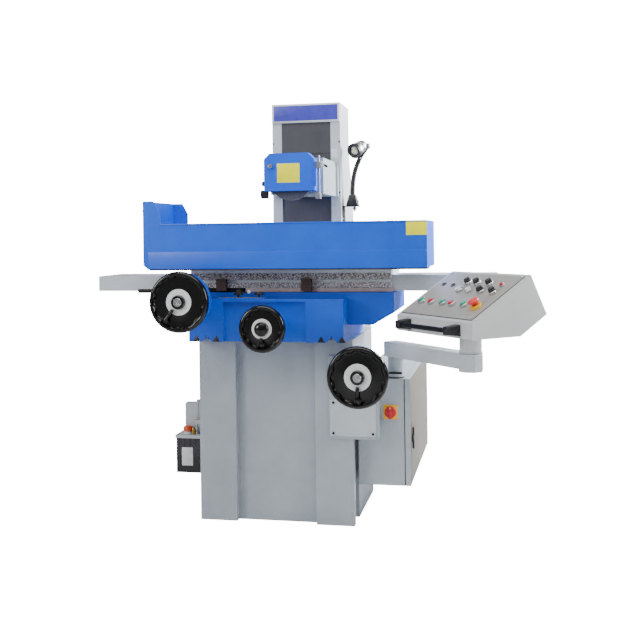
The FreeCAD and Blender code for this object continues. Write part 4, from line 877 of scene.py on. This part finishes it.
# %% Cabinet door fittings
door_low, door_high = (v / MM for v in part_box("cabinet_door"))
seal = block("cabinet_seal", (door_low.x - 3, door_low.y - 0.5, door_low.z + 2),
             (door_low.x + 1, door_low.y + 6, door_high.z - 2), 0, 0.3)
dress(seal, neck_rubber, "frame")
skin = block("cabinet_door_skin", (door_high.x - 0.3, door_low.y + 2, door_low.z + 2),
             (door_high.x + 0.5, door_high.y - 2, door_high.z - 2), 0, 0.2, "x")
dress(skin, door_steel, "cabinet_door")
GRILLE_FOOT, GRILLE_PITCH, GRILLE_ROWS = 232, 12, 9
grille_bars = []
for row in range(GRILLE_ROWS):
    z = GRILLE_FOOT + GRILLE_PITCH * row
    bar = block("grille_bar", (door_high.x - 0.2, -452, z), (door_high.x + 1.0, -438, z + 6), 0,
                0.3, "x")
    grille_bars.append(bar)
dress(merge("cabinet_grille", grille_bars), black_nylon, "cabinet_door")
latch_plate = block("latch_plate", (door_high.x - 0.2, -445, 282), (door_high.x + 1.2, -415, 408),
                    6, 0.3, "x")
dress(latch_plate, black_nylon, "cabinet_door")
latch_body = turned("latch_body", [(15, 0), (15, 5), (13.5, 7), (6, 7.4)], sides=40)
seat(latch_body, (door_high.x + 1.4, -430, 345), RIGHT)
latch_grip = block("latch_grip", (door_high.x + 3, -437, 302), (door_high.x + 11, -423, 391), 5,
                   1.2, "x")
dress(merge("door_latch", [latch_body, latch_grip]), black_nylon, "door_handle", ["door_handle"])
mark = block("latch_mark", (door_high.x + 10.9, -432.5, 372), (door_high.x + 11.4, -427.5, 386), 1,
             0.1, "x")
dress(mark, orange_pp, "door_handle")
print("door fittings", len(grille_bars))

# %% [markdown]
# The feed gear cover is a sheet plate with round corners, held by black cap
# screws. The handwheel hides its upper ones.

# %% Gear cover
cover_low, cover_high = (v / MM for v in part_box("feed_gear_cover"))
gear_plate = block("gear_cover_plate", tuple(cover_low), tuple(cover_high), 9, 0.8, "y")
dress(gear_plate, light_enamel, "frame", ["feed_gear_cover"])
for x in (cover_low.x + 14, cover_high.x - 12):
    for z in (cover_low.z + 12, cover_high.z - 12):
        add_screw((x, cover_low.y, z), "frame", size=1.25)
print("gear cover", [round(v) for v in cover_high - cover_low])

# %% [markdown]
# The lamp stands on a ribbed black gooseneck. The neck follows a curve: a short
# rib is turned, an Array modifier repeats it, a Curve modifier bends the column
# of ribs, and both are applied.

# %% Gooseneck
def ribbed_neck(name, points_mm, radius_mm, pitch_mm=6):
    line = bpy.data.curves.new(name + "_line", "CURVE")
    line.dimensions = "3D"
    spline = line.splines.new("NURBS")
    spline.points.add(len(points_mm) - 1)
    for point, place_mm in zip(spline.points, points_mm):
        point.co = (*(Vector(place_mm) * MM), 1)
    spline.order_u = 3
    spline.use_endpoint_u = True
    guide = bpy.data.objects.new(name + "_line", line)
    bpy.context.scene.collection.objects.link(guide)
    length = spline.calc_length()
    rib = turned(name, [(radius_mm - 1, 0), (radius_mm, 1.6), (radius_mm, 4.4), (radius_mm - 1, 6)],
                 sides=24)
    lay(rib, Matrix.Rotation(QUARTER, 4, "Y"))
    rows = rib.modifiers.new("ribs", "ARRAY")
    rows.count = int(length / (pitch_mm * MM))
    rows.use_relative_offset = False
    rows.use_constant_offset = True
    rows.constant_offset_displace = (length / rows.count, 0, 0)
    bend = rib.modifiers.new("bend", "CURVE")
    bend.object = guide
    bend.deform_axis = "POS_X"
    bpy.context.view_layer.objects.active = rib
    bpy.ops.object.modifier_apply(modifier=rows.name)
    bpy.ops.object.modifier_apply(modifier=bend.name)
    bpy.data.objects.remove(guide)
    return rib


neck = ribbed_neck("gooseneck",
                   [(216, 200, 1394), (217, 200, 1450), (230, 200, 1520), (262, 200, 1590),
                                 (288, 200, 1622), (293, 200, 1638)], 12)
dress(neck, neck_rubber, "frame", ["lamp_neck"])
print("gooseneck made")

# %% [markdown]
# The lamp base is a black moulded block with sloping sides on a shelf of a sheet
# bracket, with a toggle on its side and a small steel gland under it.

# %% Lamp base
base_block = block("lamp_base", (186, 170, 1340), (246, 230, 1395), 4, 1.5, taper=(0.5, 0.7, 1))
bracket = block("lamp_sheet_bracket", (169.5, 170, 1261), (173, 230, 1339), 1, 0.5, "x")
shelf = block("lamp_shelf", (170, 170, 1336), (250, 230, 1340), 4, 0.5)
dress(merge("lamp_base_block", [base_block, bracket, shelf]), black_nylon, "frame",
      ["lamp_bracket"])
for z in (1275, 1318):
    for y in (182, 218):
        add_screw((173, y, z), "frame", RIGHT, bright_steel, 0.9)
gland = turned("lamp_gland", [(6, 0), (6, 8), (9, 9), (9, 18), (7, 19), (7, 22)], sides=24)
dress(seat(gland, (226, 200, 1314)), bright_steel, "frame")
toggle = turned("lamp_toggle", [(6, 0), (6.5, 1), (6.5, 7), (5, 8)], sides=24)
dress(seat(toggle, (240, 196, 1362), (1, -0.2, 0)), white_abs, "frame")
print("lamp base", base_block.name)

# %% [markdown]
# The lamp head is a cast aluminium drum with cooling grooves, held by a short
# arm and a hub on the neck's end. In front are a black clamping ring, a pale
# plate and three light cups. All of it is turned about one slanting axis, so
# one helper stands a piece on that axis, and another spreads copies round it.

# %% Lamp head
head_at = Vector((236, 150, 1606))
LAMP_AIM = (-0.45, -0.83, -0.4)
DRUM = [(14, -82), (24, -79), (29, -72), (31, -60), (31, -46), (29.5, -44), (31, -42),
        (29.5, -40), (31, -38), (33, -26), (34, -22), (34, -4), (33, -2)]


def on_lamp(piece, offset_mm=(0, 0, 0)):
    """Put a piece made about Z on the lamp's own axis, moved sideways by an offset first."""
    lay(piece, Matrix.Translation(Vector(offset_mm) * MM))
    return seat(piece, head_at, LAMP_AIM)


def round_axis(count, radius_mm, first_degrees):
    """Offsets of a number of places spread evenly round the axis."""
    turns = [math.radians(first_degrees + 360 / count * number) for number in range(count)]
    return [(math.cos(turn) * radius_mm, math.sin(turn) * radius_mm, 0) for turn in turns]


drum = on_lamp(turned("lamp_drum", DRUM, sides=56))
arm_bar = block("lamp_arm", (272, 192, 1622), (298, 208, 1642), 4, 1, "y")
hub = seat(turned("lamp_hub", [(14, 0), (14.4, 1), (14.4, 23), (12, 26)], sides=40),
           (293, 200, 1618.6))
dress(merge("lamp_housing", [drum, arm_bar, hub]), lamp_aluminium, "lamp_head", ["lamp_head"])
ring = turned("lamp_ring",
              [(35, -8), (37, -6), (37, 8), (35.5, 10), (26, 8), (22, 3), (21, -1), (33, -5)],
              sides=64, hollow=True)
dress(on_lamp(ring), black_nylon, "lamp_head")
plate = turned("lamp_glass", [(21, -2), (21, 1), (20, 1.6)], sides=48)
dress(on_lamp(plate), lamp_aluminium, "lamp_head")
for number, offset in enumerate(round_axis(3, 10, 90)):
    cup = turned("lamp_led_%d" % number,
                 [(8, 1.2), (8.6, 2), (8, 3.6), (5.4, 4), (3.4, 5.6), (1.6, 6.2)], sides=24)
    dress(on_lamp(cup, offset), led_yellow, "lamp_head")
for number, offset in enumerate(round_axis(4, 30.5, 45)):
    stud = turned("lamp_stud_%d" % number, [(2.2, 8), (2.2, 10.4), (1.4, 11)], sides=16)
    dress(on_lamp(stud, offset), bright_steel, "lamp_head")
print("lamp head at", tuple(head_at))

# %% [markdown]
# On the lubricator: a ribbed orange filler cap, a blank label, ribs on the tank,
# steel fittings with one thin pipe held at both ends, and a brass gauge. The
# cap's ribs come from pulling every fourth corner of its turning inwards.

# %% Lubricator
LID_TOP = 300
PIPE_Y = -272
CAP_SIDES = 72
cap_low, cap_high = (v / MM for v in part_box("filler_cap"))
cap_mid = (cap_low + cap_high) / 2
cap_r = (cap_high.x - cap_low.x) / 2
cap = turned("filler_cap_cover",
             [(cap_r - 1, 0), (cap_r, 1), (cap_r, 17), (cap_r - 1.4, 20), (cap_r - 4, 21.6),
              (cap_r - 8, 21.9)], sides=CAP_SIDES)


def in_a_groove(vert):
    step = round(math.atan2(vert.co.y, vert.co.x) / (2 * math.pi) * CAP_SIDES)
    return vert.co.xy.length > (cap_r - 2) * MM and step % 4 == 0


with editing(cap) as net:
    pick(cap, net, "VERT", in_a_groove)
    bpy.ops.transform.resize(value=(0.94, 0.94, 1))
dress(seat(cap, (cap_mid.x, cap_mid.y, cap_low.z - 6)), orange_pp, "filler_cap", ["filler_cap"])
neck_ring = turned("filler_neck_ring", [(17, 0), (20, 1), (20, 5), (16.8, 7), (16.8, 13)], sides=40)
dress(seat(neck_ring, (cap_mid.x, cap_mid.y, LID_TOP)), white_abs, "frame")
tank_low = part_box("oil_tank")[0] / MM
tank_label = block("tank_label", (tank_low.x + 26, tank_low.y - 0.8, 162),
                   (tank_low.x + 78, tank_low.y + 0.3, 244), 3, 0.2, "y")
dress(tank_label, white_vinyl, "frame")
parts = []
for x, tall in ((-440, 46), (-416, 58)):
    fitting = turned("fitting", [(8, 0), (8, 10), (5, 12), (5, 20), (8.5, 22), (8.5, 32),
                                 (6, 34), (6, tall)], sides=18)
    parts.append(seat(fitting, (x, PIPE_Y, LID_TOP)))
manifold = block("manifold", (-450, PIPE_Y - 10, 346), (-408, PIPE_Y + 10, 374), 3, 1)
pipe = turned("pipe", [(2.6, 0), (3, 1), (3, 76)], sides=20)
elbow = block("elbow", (-438, PIPE_Y - 5, 444), (-424, PIPE_Y + 5, 458), 3, 1.5)
run = turned("run", [(3, 0), (3, 72)], sides=20)
parts += [manifold, seat(pipe, (-431, PIPE_Y, 372)), elbow, seat(run, (-426, PIPE_Y, 452), RIGHT)]
dress(merge("oil_fittings", parts), bright_steel, "frame")
gauge = turned("oil_gauge", [(6, 0), (9, 2), (9, 22), (7, 28), (4, 30)], sides=24)
dress(seat(gauge, (-452, -280, LID_TOP + 0.2)), brass, "frame")
ribs = []
for number in range(7):
    x = tank_low.x + 12 + 26 * number
    ribs.append(block("rib", (x - 2, tank_low.y - 1.5, 250), (x + 2, tank_low.y + 1, 282), 1.2,
                      0.5))
dress(merge("tank_ribs", ribs), tank_plastic, "frame")
for x in (-522, -360):
    add_screw((x, -296, LID_TOP), "frame", (0, 0, 1))
print("lubricator", round(cap_r, 1))

# %% [markdown]
# The apron carries an aluminium plate with the two table controls: a black
# reversing knob with a small white-tipped lever, and a plain black flow knob.

# %% Apron controls
KNOB_ROW_Y = -628
STICK_AIM = (1, -0.25, 0.12)
valve_skin = block("valve_plate_skin", (-209, -655.4, 945.8), (-19, -606, 946.3), 4, 0.15)
dress(valve_skin, brushed_aluminium, "saddle")
hub_knob = turned("reversing_hub", [(6, 0.1), (6, 8), (17, 10), (18.5, 13), (18.5, 20),
                                    (16, 23), (10, 25), (9, 30), (7, 31)], sides=40)
seat(hub_knob, (-130, KNOB_ROW_Y, 946.5))
stick = turned("reversing_stick", [(3, 0), (3.2, 2), (3.2, 44)], sides=18)
seat(stick, (-130, KNOB_ROW_Y, 964), STICK_AIM)
dress(merge("reversing_knob", [hub_knob, stick]), black_nylon, "reversing_lever",
      ["reversing_lever"])
tip = turned("reversing_tip", [(3.4, 0), (6, 2), (7, 6), (6, 10), (3, 12)], sides=24)
dress(seat(tip, (-88, -638.5, 969), STICK_AIM), white_abs, "reversing_lever")
stem_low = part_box("flow_knob")[0].z / MM
stem = turned("flow_stem", [(4.4, 0), (4.4, 10), (18, 10.4), (19, 12), (19, 18), (17, 21), (8, 22)],
              sides=40)
dress(seat(stem, (-43, KNOB_ROW_Y, stem_low)), black_nylon, "flow_knob", ["flow_knob"])
print("apron controls", stem_low)

# %% [markdown]
# Under the table runs a strip on each side of the bed, black on the left and
# bronze-coloured on the right. Black rubber wipers stand beside the V ways
# under the saddle's front. Each is a block whose upper corners are scaled
# together, which leaves it three-sided. The bed's left end shows a dark rod.

# %% Strips, wipers and rod end
black_strip = block("bed_strip_left", (-498, -529, 962.6), (-134, -500, 978.8), 1, 0.6, "x")
dress(black_strip, black_steel, "saddle")
bronze = moulded("pink_bronze_strip", "#b39c9d", "#c6b3b4", 0.4)
bronze_strip = block("bed_strip_right", (-128, -529, 963), (498, -500, 978.6), 1, 0.6, "x")
dress(bronze_strip, bronze, "saddle")
WIPER_HALF = 15
for way, way_x in enumerate((-262, 262)):
    for side, offset in enumerate((-42, 42)):
        x = way_x + offset
        wiper = block("way_wiper_%d_%d" % (way, side), (x - WIPER_HALF, -655.6, 766.2),
                      (x + WIPER_HALF, -646, 790), 0, 0.4, "y")
        with editing(wiper) as net:
            pick(wiper, net, "VERT", lambda vert: vert.co.z > 780 * MM)
            bpy.ops.transform.resize(value=(0.12, 1, 1),
                                     center_override=Vector((x, -650, 790)) * MM)
        dress(wiper, black_nylon, "saddle")
rod_end = turned("bed_rod_end", [(7.5, 0), (9, 1.5), (9, 116), (7.5, 118)], sides=32)
dress(seat(rod_end, (-497, -512, 966), (-1, 0, 0)), black_steel, "saddle")
print("strips and wipers")

# %% [markdown]
# On the wheel guard: a silver knob over the door's own, a black flap at the low
# left corner, a black side knob, and the coolant fittings on the valve block.

# %% Guard fittings
knob_skin = turned("guard_knob", [(9.6, 0), (9.6, 2), (10.4, 4), (10.4, 12), (9, 14.6), (4, 15.4)],
                   sides=40)
dress(seat(knob_skin, (-73, -290, 1508), FRONT), bright_steel, "guard_door")
flap = block("guard_flap", (-122, -288, 1366), (-92, -250, 1402), 3, 1, "y")
dress(flap, black_nylon, "head")
side_knob = turned("guard_side_knob", [(6, 0), (6, 3), (11, 4), (11, 12), (9, 14)], sides=32)
dress(seat(side_knob, (-105, -268, 1432), (-1, 0, 0)), black_nylon, "head")
COOLANT_Y = -264
for z in (1505, 1520):
    fitting = turned("coolant_fitting_%d" % z, [(5, 0), (6.4, 1), (6.4, 9), (4.6, 11), (4.6, 15)],
                     sides=24)
    dress(seat(fitting, (150, COOLANT_Y, z), RIGHT), white_abs, "head")
elbow = turned("coolant_elbow", [(3.6, 0), (4.2, 1), (4.2, 9), (5.4, 10), (5.4, 18), (3, 19)],
               sides=20)
dress(seat(elbow, (164, COOLANT_Y, 1512), (0.8, 0, -0.5)), black_nylon, "head")
print("guard fittings")

# %% [markdown]
# The splash guard is folded sheet: a second fold near its foot shows as a
# crease along the whole front. A thin strip laid on the lower part of the face
# gives that line, a bead rolls over the top edge, and a dark lip closes its foot.

# %% Splash guard folds
fold = block("splash_lower_fold", (-509, -665.2, 1066), (650.4, -663.8, 1137), 0.5, 0.4, "x")
dress(fold, guard_blue, "table")
bead = block("splash_top_bead", (-452, -666, 1248), (650.6, -660.6, 1253.2), 1, 1.2, "x")
dress(bead, guard_blue, "table")
lip = block("splash_tray_lip", (-509, -660, 1059.5), (650, -531, 1064.4), 1, 0.6)
dress(lip, dark_enamel, "table")
print("splash folds")

# %% [markdown]
# The floor is a pale sheet that curves up behind the machine, so that no edge
# shows. It is one plane whose back edge is extruded upwards and bevelled. To
# look white without whitening the machine, the sheet glows only for rays that
# come straight from the camera, and gives the machine next to no light.

# %% Floor
BACKDROP_GLOW = 16
FLOOR_FILL = 0.05
FLOOR_DEPTH = 12
BACKDROP_HEIGHT = 7
BACKDROP_CURVE = 3


def glow_for_camera(tree, fill):
    """A strength that is high where the camera looks and only the fill for every other ray."""
    seen = put(tree, "LightPath").outputs["Is Camera Ray"]
    return put(tree, "Math", {"operation": "MULTIPLY_ADD", 1: BACKDROP_GLOW, 2: fill},
               {0: seen}).outputs[0]


floor = begin("floor", bpy.ops.mesh.primitive_plane_add, size=1, location=(0, 0, 0))
floor.scale = (16, FLOOR_DEPTH, 1)
settle(floor)
back_y = FLOOR_DEPTH / 2 - 0.1
with editing(floor) as net:
    pick(floor, net, "EDGE", lambda edge: all(v.co.y > back_y for v in edge.verts))
    bpy.ops.mesh.extrude_region_move(TRANSFORM_OT_translate={"value": (0, 0, BACKDROP_HEIGHT)})
    net = bmesh.from_edit_mesh(floor.data)
    pick(floor, net, "EDGE", lambda edge: all(v.co.y > back_y and v.co.z < 0.1 for v in edge.verts))
    bpy.ops.mesh.bevel(offset=BACKDROP_CURVE, segments=16, affect="EDGES")
bpy.ops.object.shade_smooth()
backdrop, tree, shader, place = material("matt_white_backdrop", 0.9)
colour = put(tree, "ValToRGB", stops("#bcbcbc", "#c2c2c2"), {"Fac": pattern(tree, place, 400)})
tree.links.new(colour.outputs[0], shader.inputs["Base Color"])
shader.inputs["Emission Color"].default_value = (1, 1, 1, 1)
tree.links.new(glow_for_camera(tree, FLOOR_FILL), shader.inputs["Emission Strength"])
floor.data.materials.append(backdrop)
print("floor", [round(v, 1) for v in floor.dimensions])

# %% [markdown]
# Soft studio light: one wide softbox high on the left, one on the right, one
# overhead, and a small one close by, behind on the right, which brightens the
# column's side. Between them the world is a weak white, and like the floor it
# is bright only where the camera looks at it.

# %% Lights
WORLD_FILL = 0.3
LIT_PLACE = Vector((0, -0.2, 0.9))


def softbox(name, at, size, power):
    """A rectangular lamp that faces the machine's middle."""
    lamp = bpy.data.lights.new(name, "AREA")
    lamp.shape = "RECTANGLE"
    lamp.size, lamp.size_y = size
    lamp.energy = power
    holder = bpy.data.objects.new(name, lamp)
    bpy.context.scene.collection.objects.link(holder)
    holder.location = at
    holder.rotation_euler = (LIT_PLACE - Vector(at)).to_track_quat("-Z", "Y").to_euler()


softbox("left_softbox", (-4.2, -4.4, 2.8), (2.2, 2.4), 190)
softbox("right_softbox", (4.6, -1.2, 2.6), (2.2, 2.6), 170)
softbox("top_softbox", (0.2, -2.2, 4.6), (4.0, 3.0), 150)
softbox("column_softbox", (2.2, 1.2, 2.3), (0.8, 1.2), 300)
world = bpy.data.worlds.new("studio")
bpy.context.scene.world = world
world.use_nodes = True
background = world.node_tree.nodes["Background"]
background.inputs["Color"].default_value = (1, 1, 1, 1)
world.node_tree.links.new(glow_for_camera(world.node_tree, WORLD_FILL),
                          background.inputs["Strength"])

# %% [markdown]
# The pattern screw was only there to be copied, so the last cell removes it.

# %% Finish
bpy.data.objects.remove(pattern_screw)
